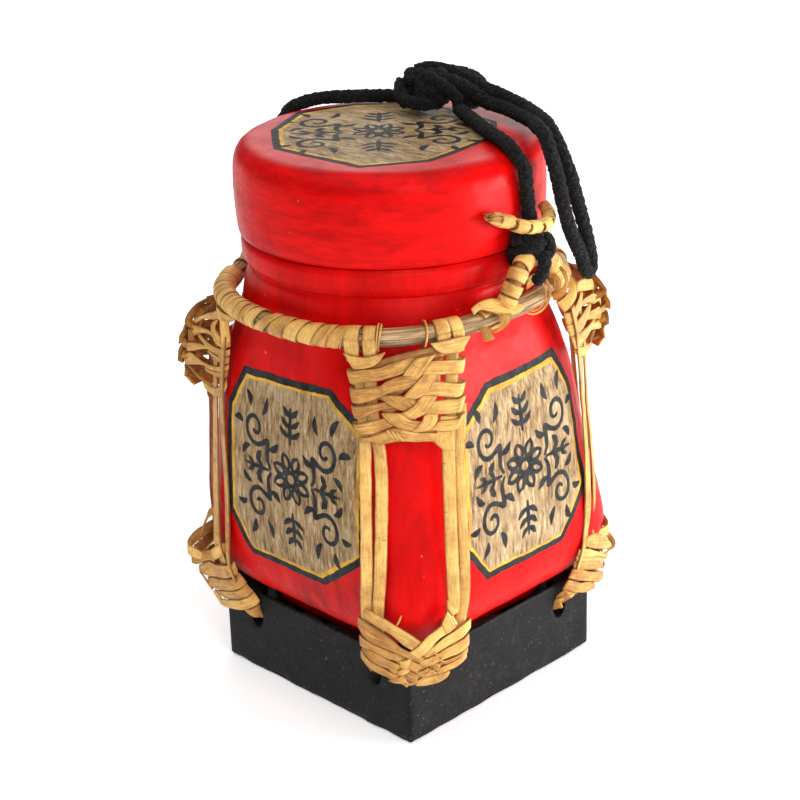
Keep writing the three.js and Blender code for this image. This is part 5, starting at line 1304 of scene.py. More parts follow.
def hoop_straps(name):
    deg = CORNERS[name]["deg"]
    sets = {"front": [[(-15.9, 6.3, -0.2), (-9.0, 5.6, 0.0)], [(19.2, 5.9, 0.35), (25.6, 5.5, -0.1)]]}.get(name, [[(-19.6, 5.6, 0.4), (-13.8, 5.4, 0.0)], [(13.8, 5.4, 0.0), (19.6, 5.6, 0.4)]])
    for k, turns in enumerate(sets):
        p = Piece()
        for i, (t, w, sl) in enumerate(turns):
            az = deg + math.degrees(math.atan2(t, 71.5))
            turn(p, az, w, CANE + 0.75, 0.85, start=-165, sweep=330, slant=sl, tilt=rnd.uniform(-0.03, 0.05), tone=0.72 + 0.1 * i, grow=0.1, wvar=0.06)
            # the ends go down into the fan
            th = np.radians([az])
            P, T, E1, E2 = (q[0] for q in hoop_frame(th))
            up = E2 if E2[2] > 0 else -E2
            side = T
            a = P + E1 * (CANE + 1.3)
            rows = [a + up * 1.0 - E1 * 0.1, a - up * 2.6, a - up * 5.4 - E1 * 0.4, a - up * 8.0 - E1 * 0.6]
            strip_on(p, [(*q, f) for q, f in zip(rows, (1.0, 0.98, 0.92, 0.8))], side, w, 0.8, 1.1, tone=0.72 + 0.1 * i)
        if name == "front" and k == 0:
            # a thin curled strip stands on edge beside the turns
            turn(p, deg + math.degrees(math.atan2(-5.4, 71.5)), 0.9, CANE + 1.1, 1.3, start=-100, sweep=230, slant=0.9, tone=0.5)
            turn(p, deg + math.degrees(math.atan2(-6.2, 71.5)), 0.7, CANE + 1.4, 1.1, start=-90, sweep=200, slant=0.6, tone=0.7)
        if name == "front" and k == 1:
            turn(p, deg + math.degrees(math.atan2(12.2, 71.5)), 0.9, CANE + 1.2, 1.2, start=-110, sweep=240, slant=0.7, tone=0.6)
        p.build(f"strap_{name}_{k + 1}", M["rattan"], "root", (f"hoop_strap_{name}_{k + 1}",))


# ------------------------------------------------------------------ lashings
def crossings(sets_a, sets_b):
    """Heights of two families of strips that pass over and under each other."""
    def line(rows):
        R = spline([((r[0] + r[2]) / 2, (r[1] + r[3]) / 2, 0) for r in rows], 0.5)
        return R[:, :2]
    la, lb = {k: line(r) for k, r in sets_a.items()}, {k: line(r) for k, r in sets_b.items()}
    hits = {k: [] for k in (*la, *lb)}
    for i, (ka, a) in enumerate(la.items()):
        for j, (kb, b) in enumerate(lb.items()):
            d = np.linalg.norm(a[:, None] - b[None], axis=2)
            m = np.unravel_index(np.argmin(d), d.shape)
            if d[m] < 0.8:
                s = 1 if (i + j) % 2 == 0 else -1
                hits[ka].append((m[0] / (len(a) - 1), s))
                hits[kb].append((m[1] / (len(b) - 1), -s))
    return hits


def heights(rows, hits, amp=0.55):
    R = np.array([((r[0] + r[2]) / 2, (r[1] + r[3]) / 2) for r in rows])
    s = np.concatenate([[0], np.cumsum(np.linalg.norm(np.diff(R, axis=0), axis=1))])
    return hits, s / s[-1]


def lashing_front():
    deg = -45
    p = Piece()
    LT = {k: ROWS[k] for k in ("LT1", "LT2", "LT3", "LT4")}
    RT = {k: ROWS[k] for k in ("RT1", "RT2", "RT3", "RT4")}
    hits = crossings(LT, RT)
    for k, rows in {**LT, **RT, "RT5": ROWS["RT5"]}.items():
        R = spline([((r[0] + r[2]) / 2, (r[1] + r[3]) / 2, 0, *r[:4]) for r in rows], 1.6)
        f = np.linspace(0, 1, len(R))
        off = np.full(len(R), 0.55)
        h = sorted(hits.get(k, []))
        if h:
            xs, ys = [-0.05, max(0.0, h[0][0] - 0.16)], [0.55, 0.55]
            for i, (q, sg_) in enumerate(h):
                lo = (h[i - 1][0] + q) / 2 if i else q - 0.10
                hi = (h[i + 1][0] + q) / 2 if i + 1 < len(h) else q + 0.10
                xs += [lo + 0.28 * (q - lo), hi - 0.28 * (hi - q)]
                ys += [0.55 + 0.6 * sg_] * 2
            xs, ys = xs + [1.05], ys + [0.1]
            off = np.interp(f, xs, ys)
        A = [W(deg, r[3], front_rho(r[3], r[4]) + o, r[4]) for r, o in zip(R, off)]
        B = [W(deg, r[5], front_rho(r[5], r[6]) + o, r[6]) for r, o in zip(R, off)]
        # round the outer strip, and in to the slot in the plinth's face
        sg = -1 if k.startswith("LT") else 1
        if k != "RT5":
            a, b = rows[0][:2], rows[0][2:4]
            m = (a[1] + b[1]) / 2
            lim = abs((a[0] + b[0]) / 2)
            ra = float(front_rho(lim, m))
            pre = [((15.2, 64.6, 27.6), (15.9, 64.4, 25.6)), ((17.8, 68.0, 27.5 + (m - 26.5) * 0.30 + 1.6), (18.0, 67.8, 27.5 + (m - 26.5) * 0.30 - 1.8)),
                   ((lim - 0.2, ra - 6.6, a[1] - 2.4), (lim - 0.2, ra - 6.8, b[1] - 2.0)), ((lim + 0.75, ra - 3.2, a[1] - 0.6), (lim + 0.75, ra - 3.2, b[1] - 0.6)),
                   ((lim + 0.45, ra - 1.2, a[1] - 0.1), (lim + 0.45, ra - 1.2, b[1] - 0.1))]
            A = [W(deg, sg * q[0][0], q[0][1], q[0][2]) for q in pre] + A[1:]
            B = [W(deg, sg * q[1][0], q[1][1], q[1][2]) for q in pre] + B[1:]
        ribbon(p, A, B, 0.8, 1.1, {"LT1": 0.35, "LT2": 0.5, "LT3": 0.3, "LT4": 0.42, "RT1": 0.85, "RT2": 0.6, "RT3": 0.5, "RT4": 0.62, "RT5": 0.7}[k], None, rnd.uniform(-0.04, 0.04))
    for k in ("VL", "VR", "K"):
        A, B = edges("front", ROWS[k])
        ribbon(p, A, B, 0.85, 1.1, TONES[k])
    # torn fibres where the strips cross, and one that stands off
    for _ in range(14):
        t, z = rnd.uniform(7.5, 13.5), rnd.uniform(36.5, 47.5)
        q = [W(deg, t, front_rho(t, z) + 1.2, z), W(deg, t + rnd.uniform(-1, 1.4), front_rho(t, z) + rnd.uniform(1.7, 2.4), z + rnd.uniform(-0.8, 1.0)), W(deg, t + rnd.uniform(-2, 2.4), front_rho(t, z) + rnd.uniform(1.5, 2.6), z + rnd.uniform(-1.4, 1.6))]
        strip_on(p, q, W(deg, 0.4, 0.5, 1.0), rnd.uniform(0.35, 0.9), 0.3, 0.6, tone=1.0, taper=0.8)
    q = [W(deg, -4.6, 87.2, 59.4), W(deg, -3.4, 87.8, 61.8), W(deg, -2.2, 88.2, 64.9)]
    strip_on(p, q, W(deg, 1, 0, 0), 0.75, 0.5, 0.8, tone=0.7, taper=0.8)
    return p.build("lashing_front", M["rattan"], "root", ("base_lashing_front",))


SIDE_LASH = {
    # rows from the top: (half-way out from the axis, height) in front of the corner, heights at the limbs
    "left": [(95.4, 50.4, 54.6), (93.6, 46.0, 49.6), (91.0, 40.4, 43.6), (87.4, 34.0, 38.0), (84.2, 27.8, 32.4), (82.2, 23.6, 28.2)],
    "right": [(88.4, 54.6, 57.4), (90.6, 48.6, 52.6), (87.6, 43.0, 47.6), (87.8, 36.4, 42.0), (85.6, 29.6, 36.2), (82.6, 24.2, 31.0)],
    "back": [(88.6, 53.0, 56.4), (89.6, 47.4, 51.4), (88.4, 41.4, 46.0), (86.6, 35.2, 40.4), (84.6, 29.0, 34.8), (82.4, 24.2, 30.0)],
}


def lashing_side(name, p=None):
    """Rows of the lashing; given a piece, only the half that lies away from the traced strips goes into it."""
    deg = CORNERS[name]["deg"]
    half = p is not None
    p = p or Piece()
    near = 1 if name == "left" else -1
    rows = SIDE_LASH[name]
    up = (0, 0, 1)
    for i, (rc, zc, zl) in enumerate(rows):
        f = i / (len(rows) - 1)
        lim = 21.4 - 3.6 * f
        rl = 77.5 - 9.0 * f
        wl = 5.2 - 0.8 * f
        for k in ((0, 1) if i in (1, 2, 3) else (0,)):
            # the second of a pair lies under the first and comes out between two rows
            dz, o = (-2.6, -1.3) if k else (0.0, 0.35 * (-1) ** i)
            R = []
            for t, r, z, w in ((-14.8, 63.6, 26.6, 0.55), (-16.6, 66.6, 27.5 + (zl - 26) * 0.35, 0.8), (-lim + 0.4, rl - 4.5, zl - 1.6, 1.0), (-lim - 0.5, rl - 0.6, zl, 1.0), (-lim * 0.86, rl + 3.6, zl + 0.2, 1.0),
                               (-lim * 0.5, (rl + rc) / 2 + 2.6, (zl + zc) / 2, 1.0), (-3.2, rc - 0.4, zc + 0.2, 1.0), (3.2, rc - 0.4, zc + 0.2, 1.0), (lim * 0.5, (rl + rc) / 2 + 2.6, (zl + zc) / 2, 1.0),
                               (lim * 0.86, rl + 3.6, zl + 0.2, 1.0), (lim + 0.5, rl - 0.6, zl, 1.0), (lim - 0.4, rl - 4.5, zl - 1.6, 1.0), (16.6, 66.6, 27.5 + (zl - 26) * 0.35, 0.8), (14.8, 63.6, 26.6, 0.55)):
                n = 0.7 * mnoise.noise(Vector((t * 0.08, i * 3.3 + k, deg)))
                R.append((*W(deg, t, r + o + n * 0.6 - (1.6 if half and abs(t) < 12 else 0.0), z + dz + n), w))
            if half:
                T = W(deg, 1, 0, 0)
                R = [q for q in R if float(np.dot(q[:3], T)) * near < -2.4]
            strip_on(p, R, up, wl + 0.5, 0.8, 1.2, tone=0.4 + 0.4 * rnd.random(), tilt=0.10 * near * 0, wobble=0.04)
    # strips that bind the posts over the rows
    top = rows[0]
    for sg in ((-near,) if half else (near, -near)):
        R = [(*W(deg, sg * 17.0, 74.5, top[2] + 7.2), 0.8), (*W(deg, sg * 21.2, 76.2, top[2] + 6.4), 1.0), (*W(deg, sg * 20.2, 80.2, top[2] + 5.4), 1.0), (*W(deg, sg * 13, 84.6, top[2] + 4.6), 1.0), (*W(deg, sg * 5, top[0] - 1.0, top[1] + 5.2), 1.0),
             (*W(deg, -sg * 2, top[0] + 0.6, top[1] + 3.6), 1.0), (*W(deg, -sg * 7, top[0] - 5.5, top[1] + 2.6), 0.8)]
        strip_on(p, R, up, 5.4, 0.8, 1.2, tone=0.85, out=W(deg, 0, 1, 0))
        R = [(*W(deg, sg * 11.0, 81.0, top[2] + 9.4), 0.8), (*W(deg, sg * 14.6, 84.8, top[2] + 8.6), 1.0), (*W(deg, sg * 19.0, 82.4, top[2] + 7.6), 1.0), (*W(deg, sg * 21.2, 78.6, top[2] + 7.0), 1.0), (*W(deg, sg * 20.0, 75.4, top[2] + 6.6), 0.8)]
        strip_on(p, R, up, 6.0, 0.8, 1.1, tone=0.75, out=W(deg, 0, 1, 0))
    if half:
        return p
    return p.build(f"lashing_{name}", M["rattan"], "root", (f"base_lashing_{name}",))




def traced(piece, deg, rows, m=1, dz=lambda t: 0.0, dr=0.0, thick=0.8, tone=None, spread=0.0, lift=0.0):
    """A strip from its (t, out, z, out, z) rows; m = -1 mirrors it to the corner's other half."""
    A, B = [], []
    for t, ra, za, rb, zb in rows:
        s = spread if t > 0 else -spread
        A.append(W(deg, m * (t - s), ra + dr, za + dz(t)))
        B.append(W(deg, m * (t + s), rb + dr, zb + dz(t)))
    ribbon(piece, A, B, thick, 1.1, tone, None, rnd.uniform(-0.03, 0.03), lift=lift)


SIDE = {"left": (225, 1, LEFT_WEAVE, LEFT_POSTS, LEFT_LASH, 0.0), "right": (45, 1, RIGHT_WEAVE, RIGHT_POSTS, RIGHT_LASH, 0.0), "back": (135, -1, RIGHT_WEAVE, RIGHT_POSTS, RIGHT_LASH, -6.5)}
# strips round the far side of a corner or tucked under others start from a dark tone: painted shade
PAINTED_SHADE_STRIPS = ("FB1", "FB2", "FB3", "FB4", "FR1", "FR2", "FR3", "FR4", "Ed", "Si", "SeTip", "Fold", "T4", "Bul")
HEADS = ("W1", "W2", "F", "V", "U")


def side_weave(name):
    deg, m, weave, posts, lash, dz0 = SIDE[name]
    p = Piece()
    for k, rows in weave.items():
        if k in ("Ph", "W1", "V"):
            continue
        # the far and tucked strips get a low tone, which is painted shade
        tone = (0.12 if k in PAINTED_SHADE_STRIPS else 0.5) + 0.25 * rnd.random()
        traced(p, deg, rows, m, lambda t: dz0, 0.0, 0.75, tone)
    weave_rows(p, name, 1 if name == "left" else -1)
    return p.build(f"weave_{name}", M["rattan"], "root", (f"corner_weave_{name}",))


def side_posts(name):
    deg, m, weave, posts, lash, dz0 = SIDE[name]
    near, mid = posts["c"], posts["b"]
    sg = 1 if near[0][0] > 0 else -1
    top = {"left": 160.0, "right": 168.0, "back": 161.5}[name]
    for k, (rows, side) in enumerate(((near, -1), (mid, -1), (mid, 1), (near, 1))):
        # nodes run from t < 0 to t > 0
        if side == -1 and k == 1:
            rows = mid
        p = Piece()
        flip = 1 if (side == sg * m) else -1
        R = [list(r) for r in rows]
        low = 0.0 if flip == 1 else -9.0
        if rows is mid and name == "left" and flip == -1:
            R = [[-r[0], *r[1:]] for r in posts["a"]]
            R.append([R[-1][0], R[-1][1] - 0.4, 56.0, R[-1][3] - 0.4, 56.0])
        head = R[0]
        R = [[head[0], head[1] - 2.6, top, head[3] - 2.6, top], [head[0], head[1] - 0.9, (top + head[2]) / 2, head[3] - 0.9, (top + head[2]) / 2]] + R
        foot = R[-1]
        R.append([foot[0], foot[1] - 2.2, foot[2] - 9, foot[3] - 2.2, foot[4] - 9])
        zs = lambda t: 0.0
        A, B = [], []
        for t, ra, za, rb, zb in R:
            f = min(1.0, max(0.0, (za - 70) / 60))
            d = (dz0 + low) * f
            lo, hi = (2.0, -2.0) if ra > rb else (-2.0, 2.0)
            ta, tb = abs(t) - (2.0 if ra > rb else -2.0), abs(t) + (2.0 if ra > rb else -2.0)
            s = sg * m * flip
            A.append(W(deg, s * ta, ra, za + d))
            B.append(W(deg, s * tb, rb, zb + d))
        ribbon(p, A, B, 0.95, 1.4, 0.55 + 0.4 * rnd.random())
        if name == "left" and rows is near and flip == 1:
            traced(p, deg, weave["Ph"], m, lambda t: 0.0, 0.0, 0.85, 0.95, 0.0)
        p.build(f"post_{name}_{k + 1}", M["rattan"], "root", (f"corner_strip_{name}_{k + 1}",))


def side_straps(name):
    deg, m, weave, posts, lash, dz0 = SIDE[name]
    near = (1 if name == "left" else -1) * m
    for k, side in enumerate((-1, 1)):
        p = Piece()
        if name == "left":
            lims = [-119.5, -123.8, -128.0, -132.0] if side == near else [-132.0, -139.5, -147.5]
            for a, b in zip(lims, lims[1:]):
                turn(p, (a + b) / 2, abs(a - b) / 57.3 * HR * 1.02, CANE + 0.55, 0.8, start=-160, sweep=340, slant=1.2 if side == near else 0.6, tone=0.7 + 0.2 * rnd.random(), grow=0.15)
            if side != near:
                for a in (-156.2, -160.6, -165.2):
                    turn(p, a, 5.0, CANE + 0.5, 0.8, start=-160, sweep=345, slant=0.4, tone=0.6 + 0.2 * rnd.random())
        else:
            for i, t in enumerate((12.6, 18.2, 23.0)):
                az = deg + side * math.degrees(math.atan2(t, 71.5))
                turn(p, az, 5.3, CANE + 0.7, 0.8, start=-165, sweep=335, slant=0.5, tone=0.7 + 0.2 * rnd.random(), grow=0.1)
        heads = [q for q in ("W1", "V") if q in weave]
        for q in (heads if side == near else ()):
            traced(p, deg, weave[q], m * (1 if side == near else -1), lambda t: dz0 * 0.6 - (0 if side == near else 4.0), 0.0, 0.85, 0.85 if q == "W1" else 0.3)
        if name == "left" and side == near:
            traced(p, deg, weave["F"], m * (1 if side == near else -1), lambda t: 0.0 if side == near else -6.0, 0.3, 0.85, 0.8)
        p.build(f"strap_{name}_{k + 1}", M["rattan"], "root", (f"hoop_strap_{name}_{k + 1}",))


def side_lashing(name):
    deg, m, weave, posts, lash, dz0 = SIDE[name]
    p = Piece()
    for k, rows in lash.items():
        if k.startswith("loop"):
            continue
        tone = 0.35 + 0.45 * rnd.random()
        traced(p, deg, rows, m, lambda t: 0.0, 0.0, 0.8, tone)
    lashing_side(name, p)
    # the strips' ends go into the slots
    for sg in (1, -1):
        for r0, z0, w in ((66.0, 30.0, 4.6), (69.0, 34.5, 4.6)):
            R = [(*W(deg, sg * 17.2, r0 + 1.2, z0), 1.0), (*W(deg, sg * 15.8, (r0 + 64) / 2, (z0 + 27.5) / 2), 0.95), (*W(deg, sg * 14.2, 63.4, 26.8), 0.7), (*W(deg, sg * 11.0, 63.0, 26.4), 0.6)]
            strip_on(p, R, (0, 0, 1), w, 0.8, 1.0, tone=0.5)
    return p.build(f"lashing_{name}", M["rattan"], "root", (f"base_lashing_{name}",))


def loose_strips():
    p = Piece()
    traced(p, 225, LEFT_LASH["loop"], 1, lambda t: 0.0, 0.0, 0.5, 0.2)
    traced(p, 225, LEFT_LASH["loop2"], 1, lambda t: 0.0, 0.0, 0.5, 0.4)
    return p.build("loose_strips", M["rattan"], "root")


for name in CORNERS:
    if name == "front":
        corner_weave(name)
        corner_posts(name)
        hoop_straps(name)
        lashing_front()
    elif name == "back":
        corner_weave(name)
        corner_posts(name)
        hoop_straps(name)
        lashing_side(name)
    else:
        side_weave(name)
        side_posts(name)
        side_straps(name)
        side_lashing(name)
loose_strips()


# the long bindings of the hoop: turn by turn, each edge a little over the next
def binding(name, spots, tail=None):
    p = Piece()
    for az, w, sl, tl, tone in spots:
        turn(p, az, w, CANE + 0.42, 0.72, start=-175 + rnd.uniform(-12, 12), sweep=372, pitch=2.0, slant=sl, tilt=tl, tone=tone, grow=0.22, wvar=0.05)
        # the edge of the strip below shows beside each turn
        if rnd.random() < 0.75:
            turn(p, az + (w / 2 + 0.1) / HR * 57.3, 0.55, CANE + 0.62, 0.55, start=-120, sweep=250, slant=sl, tone=min(1.0, tone + 0.25))
    if tail is not None:
        for rows, w, t in tail:
            strip_on(p, rows, np.array([0.3, -0.2, 1.0]), w, 0.6, 0.8, tone=t, taper=1.0)
    return p.build(f"binding_{name}", M["rattan"], "root", (f"hoop_binding_{name}",))


EDGES = [-60.6, -65.2, -70.4, -76.2, -82.2, -88.6, None, -96.6, -101.6, -105.4, -109.6, -113.6, -116.8, -119.6]
spots = []
for a, b in zip(EDGES, EDGES[1:]):
    if a is None or b is None:
        continue
    w = abs(a - b) / 57.3 * HR
    spots.append(((a + b) / 2, w * 0.985, 2.1 if a > -95 else 1.5, rnd.uniform(0.06, 0.11), 0.55 + 0.35 * rnd.random()))
spots.append((-92.4, 4.4, 4.6, 0.05, 0.7))
binding("front", spots)
spots, az = [], 66.0
while az < 115:
    w = rnd.uniform(4.6, 5.5)
    spots.append((az, w, rnd.uniform(-1.2, 0.4), rnd.uniform(-0.10, -0.04), 0.45 + 0.35 * rnd.random()))
    az += (w + rnd.uniform(-0.25, 0.2)) / HR * 57.3
binding("back", spots)


# ------------------------------------------------------------- eyes and loops
def wound_rod(piece, rows, core, pitch, width, thick=0.75, slant=0.0, tone=0.5, phase=0.0, tilt=0.05, up=None, skip=0.0):
    """A rod wrapped in separate turns of strip along its whole length."""
    P = spline(rows, 0.8)[:, :3]
    piece.rod(P, core, 14, tone=0.1)
    T, N = tangents(P), carried(P)
    B = np.cross(T, N)
    s = np.concatenate([[0], np.cumsum(np.linalg.norm(np.diff(P, axis=0), axis=1))])
    f = lambda A, q: np.stack([np.interp(q, s, A[:, i]) for i in range(3)], axis=1)
    c = skip + width / 2
    while c < s[-1] - width * 0.4:
        n = 34
        ph = np.radians(np.linspace(phase, phase + 385, n))
        q = c + slant * np.cos(ph - 1.2) + np.linspace(-0.35, 0.35, n)
        q = np.clip(q, 0.2, s[-1] - 0.2)
        Pq, Tq, Nq, Bq = f(P, q), unit(f(T, q)), unit(f(N, q)), unit(f(B, q))
        r = core + 0.45 + 0.16 * np.linspace(0, 1, n)
        C = Pq + r[:, None] * (Nq * np.cos(ph)[:, None] + Bq * np.sin(ph)[:, None])
        w = width / 2 * rnd.uniform(0.94, 1.03)
        mid = n // 2
        ribbon(piece, C - Tq * w, C + Tq * w, thick, 1.0, tone + rnd.uniform(-0.12, 0.12), C[mid] - Pq[mid], tilt)
        c += pitch * rnd.uniform(0.95, 1.05)


def opposite(rows, dz=0.0):
    return [(2 * AXIS - r[0], 2 * AXIS - r[1], r[2] - dz, *r[3:]) for r in rows]


LID_LOOP = [(64.9, -13.4, 219.4), (66.1, -9.5, 217.8), (67.6, -6.0, 216.5), (69.5, -3.0, 214.7), (70.7, 1.5, 213.2), (71.5, 6.5, 212.2), (70.9, 12.0, 211.9), (68.6, 17.0, 212.7), (64.8, 20.5, 213.9), (60.8, 21.8, 215.4)]
EYE = [(67.6, -9.4, 181.5), (68.5, -8.0, 184.8), (69.2, -7.0, 188.0), (70.0, -5.5, 191.5), (70.4, -3.0, 195.9), (70.4, 0.0, 199.0), (70.0, 4.0, 200.2), (68.9, 10.0, 199.3), (67.9, 16.0, 196.6), (66.8, 21.0, 192.5), (65.4, 25.0, 187.4), (64.5, 28.0, 182.8), (63.6, 29.4, 180.0)]
# the left eye leans against the collar: (azimuth, out from the Z axis, z)
EYE_L = [(a_ * 1.0, r_, z_) for a_, r_, z_ in (
    (174.8, 70.0, 173.2), (175.2, 71.0, 178.2), (176.0, 72.4, 183.4), (177.4, 73.4, 187.8), (180.4, 73.8, 190.8), (184.4, 73.4, 192.0), (188.2, 72.2, 191.0),
    (191.6, 71.0, 188.2), (194.4, 70.3, 184.2), (197.2, 70.1, 179.6), (199.8, 70.1, 175.4), (200.6, 70.0, 172.6))]
EYE_L = [(AXIS + (r_ - 1.0) * math.cos(math.radians(a_)), AXIS + (r_ - 1.0) * math.sin(math.radians(a_)), z_) for a_, r_, z_ in EYE_L]
for side, is_left, dz in (("right", False, 0.0), ("left", True, 8.0)):
    p = Piece()
    L = opposite(LID_LOOP, 0.0) if is_left else LID_LOOP
    if is_left:
        L = [(x + (1.2 if y < -5 else 0.0), y if y > -5 else -5 + (y + 5) * 0.45, z) for x, y, z in L]
    wound_rod(p, L, 1.9, 6.4, 5.9, 0.65, slant=1.6, tone=0.85, phase=20.0, tilt=0.03, skip=3.5)
    # frayed end
    c0, c1 = np.array(L[0]), np.array(L[1])
    d = unit(c0 - c1)
    for _ in range(26):
        o = np.array([rnd.uniform(-1, 1), rnd.uniform(-1, 1), rnd.uniform(-1, 1)])
        o = o - d * np.dot(o, d)
        a = c1 - d * 1.5 + o * 1.5
        b = c0 + d * rnd.uniform(-0.5, 2.0) + o * rnd.uniform(1.2, 2.4)
        strip_on(p, [a, (a + b) / 2 + o * 0.25, b], d + np.array([0.3, 0.2, 0.9]), rnd.uniform(0.7, 1.9), 0.4, 0.8, tone=rnd.random() * 0.45, taper=1.0)
    p.build(f"lid_guide_{side}", M["rattan"], "lid", (f"lid_loop_{side}",))
    p = Piece()
    E = EYE_L if is_left else EYE
    wound_rod(p, E, 3.1, 5.75, 5.55, 0.8, slant=0.5, tone=0.75, phase=200.0, tilt=0.05)
    p.build(f"wrapped_eye_{side}", M["rattan"], "root", (f"collar_eye_{side}",))

# strips that tie the eyes' feet to the hoop
p = Piece()
for m, dz in ((1, 0.0), (-1, -8.0)):
    for k, rows in EYE_STRIPS.items():
        if m == -1:
            continue
        A, B = [], []
        for xa, ya, za, xb, yb, zb in rows:
            for L, (x, y, z) in ((A, (xa, ya, za)), (B, (xb, yb, zb))):
                L.append((x, y, z + dz * 0) if m == 1 else (2 * AXIS - x, 2 * AXIS - y, z + dz))
        ribbon(p, A, B, 0.8 if k[0] in "fwti" else 0.45, 1.0, {"f": 0.8, "w": 0.85, "t": 0.6, "i": 0.55, "l": 0.75, "c": 0.2}[k[0]], None)
    base = 0.0 if m == 1 else 180.0
    turn(p, base - 12.0, 5.4, CANE + 0.5, 0.8, start=40, sweep=290, slant=-2.0, tone=0.6)
    for q in ((27.5, 32.0) if m == 1 else (-5.5, -9.8, 17.4, 21.4)):
        turn(p, base + q, 5.3, CANE + 0.6, 0.8, start=-160, sweep=335, slant=0.6, tone=0.6 + 0.2 * rnd.random())
p.build("eye_ties", M["rattan"], "root")


# ------------------------------------------------------------------------ cords
RIGHT_LEG = [
    (3.5, 34.8, 243.0), (13.5, 29.5, 242.6), (26.6, 22.5, 242.4), (41.0, 14.9, 242.4), (50.5, 10.4, 242.3), (57.2, 7.7, 241.0), (62.0, 6.4, 238.6), (65.3, 6.4, 234.2),
    (65.6, 6.9, 228.6), (65.5, 7.9, 222.5), (65.4, 8.6, 216.5), (66.1, 8.8, 213.2), (67.4, 8.0, 209.8)]
LEFT_LEG = [
    (-24.6, 35.2, 243.2), (-35.4, 33.0, 242.5), (-44.2, 26.6, 242.4), (-51.0, 19.2, 242.4), (-56.0, 12.8, 242.4), (-60.6, 7.6, 241.2), (-65.6, 3.7, 238.4),
    (-68.2, 0.8, 233.0), (-69.3, -2.2, 226.0), (-69.2, -5.4, 219.0), (-69.0, -8.3, 212.0), (-69.4, -9.6, 207.0), (-70.6, -9.8, 202.4)]
CARRY = [
    (3.0, 40.5, 250.4), (7.6, 42.9, 250.6), (12.6, 44.6, 250.0), (21, 46.6, 247.6), (33, 43.9, 246.2), (46, 37.3, 245.8), (57, 30.4, 245.3), (65.4, 26.6, 239.8), (69.4, 27.4, 231), (71.3, 30.7, 218),
    (72.3, 34.6, 205), (72.3, 37.6, 195.5), (71.9, 39.2, 190.0), (72.5, 37.4, 185.8), (73.7, 33.4, 188.4), (73.9, 30.2, 195.5), (73.9, 23.7, 207), (74.2, 19, 219),
    (72.8, 16.9, 231), (70, 16.2, 240), (64, 19.4, 245.2), (56.4, 24.2, 246.2), (47, 32.0, 245.0), (33, 39.0, 244.4), (22.4, 41.6, 245.0), (14.6, 41.6, 245.6), (9.0, 40.6, 247.4), (3.6, 38.2, 249.4)]


def braid(piece, line, radius=2.75, tone=0.5, lay=9.0, fuzz=None, per_mm=10.0, length=(0.4, 1.3)):
    """Cord surface along a line (mm): soft ridges of its plaited strands."""
    P = line
    T = tangents(P)
    N = carried(P)
    B = np.cross(T, N)
    s = np.concatenate([[0], np.cumsum(np.linalg.norm(np.diff(P, axis=0), axis=1))])
    m = 20
    ang = np.arange(m) / m * 2 * math.pi
    V = np.empty((len(P), m, 3))
    seed = rnd.random() * 40
    for i in range(len(P)):
        for j, a in enumerate(ang):
            k = 2 * math.pi * s[i] / lay
            h = abs(math.sin(2 * a + k)) ** 0.7 + abs(math.sin(2 * a - k)) ** 0.7
            e = mnoise.noise(Vector((math.cos(a) * 2.2 + seed, math.sin(a) * 2.2, s[i] * 0.55)))
            e2 = mnoise.noise(Vector((seed, 4.0, s[i] * 0.16)))
            e3 = mnoise.noise(Vector((math.cos(a) * 3.4, math.sin(a) * 3.4 + seed, s[i] * 1.3)))
            q = radius * (0.85 + 0.12 * h + 0.08 * e + 0.04 * e2 + 0.17 * e3)
            V[i, j] = P[i] + (N[i] * math.cos(a) + B[i] * math.sin(a)) * q
    piece.rings(V, ang / math.pi - 1, s * MM, tone)
    if fuzz is not None:
        hair(fuzz, P, T, N, B, s, radius, per_mm, length)


def hair(piece, P, T, N, B, s, radius, per_mm=4.0, length=(0.5, 1.5)):
    """Short stray fibres that stand off a cord."""
    n = int(s[-1] * per_mm)
    for _ in range(n):
        i = rnd.randrange(len(P) - 1)
        f = rnd.random()
        c = P[i] * (1 - f) + P[i + 1] * f
        a = rnd.random() * 2 * math.pi
        d = N[i] * math.cos(a) + B[i] * math.sin(a)
        e = -N[i] * math.sin(a) + B[i] * math.cos(a)
        L = rnd.uniform(*length) * (1.0 if rnd.random() < 0.9 else 1.7)
        root = c + d * radius * 0.88
        k1, k2 = rnd.uniform(-0.8, 0.8), rnd.uniform(-0.8, 0.8)
        mid = root + d * L * 0.55 + (T[i] * k1 + e * k2) * L * 0.35
        tip = root + d * L * rnd.uniform(0.4, 1.0) + (T[i] * k1 + e * k2) * L
        w = 0.055
        tri(piece, root, mid, tip, w, d, e)


def tri(piece, root, mid, tip, w, d, e):
    b = piece.n
    x, y = e * w, np.cross(unit(tip - root), e) * w
    piece.v.append(np.array([root + x, root - 0.5 * x + 0.87 * y, root - 0.5 * x - 0.87 * y, mid + 0.8 * x, mid - 0.4 * x + 0.7 * y, mid - 0.4 * x - 0.7 * y, tip]))
    piece.n += 7
    for a, c in ((0, 1), (1, 2), (2, 0)):
        piece.f.append((b + a, b + c, b + c + 3, b + a + 3))
        piece.f.append((b + a + 3, b + c + 3, b + 6))
    piece.f.append((b + 2, b + 1, b))
    piece.al.append(np.zeros(7)); piece.ac.append(np.zeros(7)); piece.tn.append(np.full(7, 0.5))


def cord_piece(name, rows, node, body, fuzz_name=None):
    line = spline(rows, 0.62)
    p, z = Piece(), Piece()
    braid(p, line, fuzz=z)
    ob = p.build(name, M["cord"], body, (node,), "black_cord")
    hairs = z.build(name + "_fibres", M["cord"], body, (), "black_cord")
    return ob


# ----------------------------------------------------------------------- knots
E1, E2, E3 = np.array((0.7071, 0.7071, 0.0)), np.array((0.7071, -0.7071, 0.0)), np.array((0.0, 0.0, 1.0))


def local(c, rows, turn_round=False):
    """Knot rows (along, out, up) in mm; turn_round spins them half a turn about Z."""
    g = -1.0 if turn_round else 1.0
    return [tuple(np.array(c, float) + E1 * a * g + E2 * b * g + E3 * d) for a, b, d in rows]


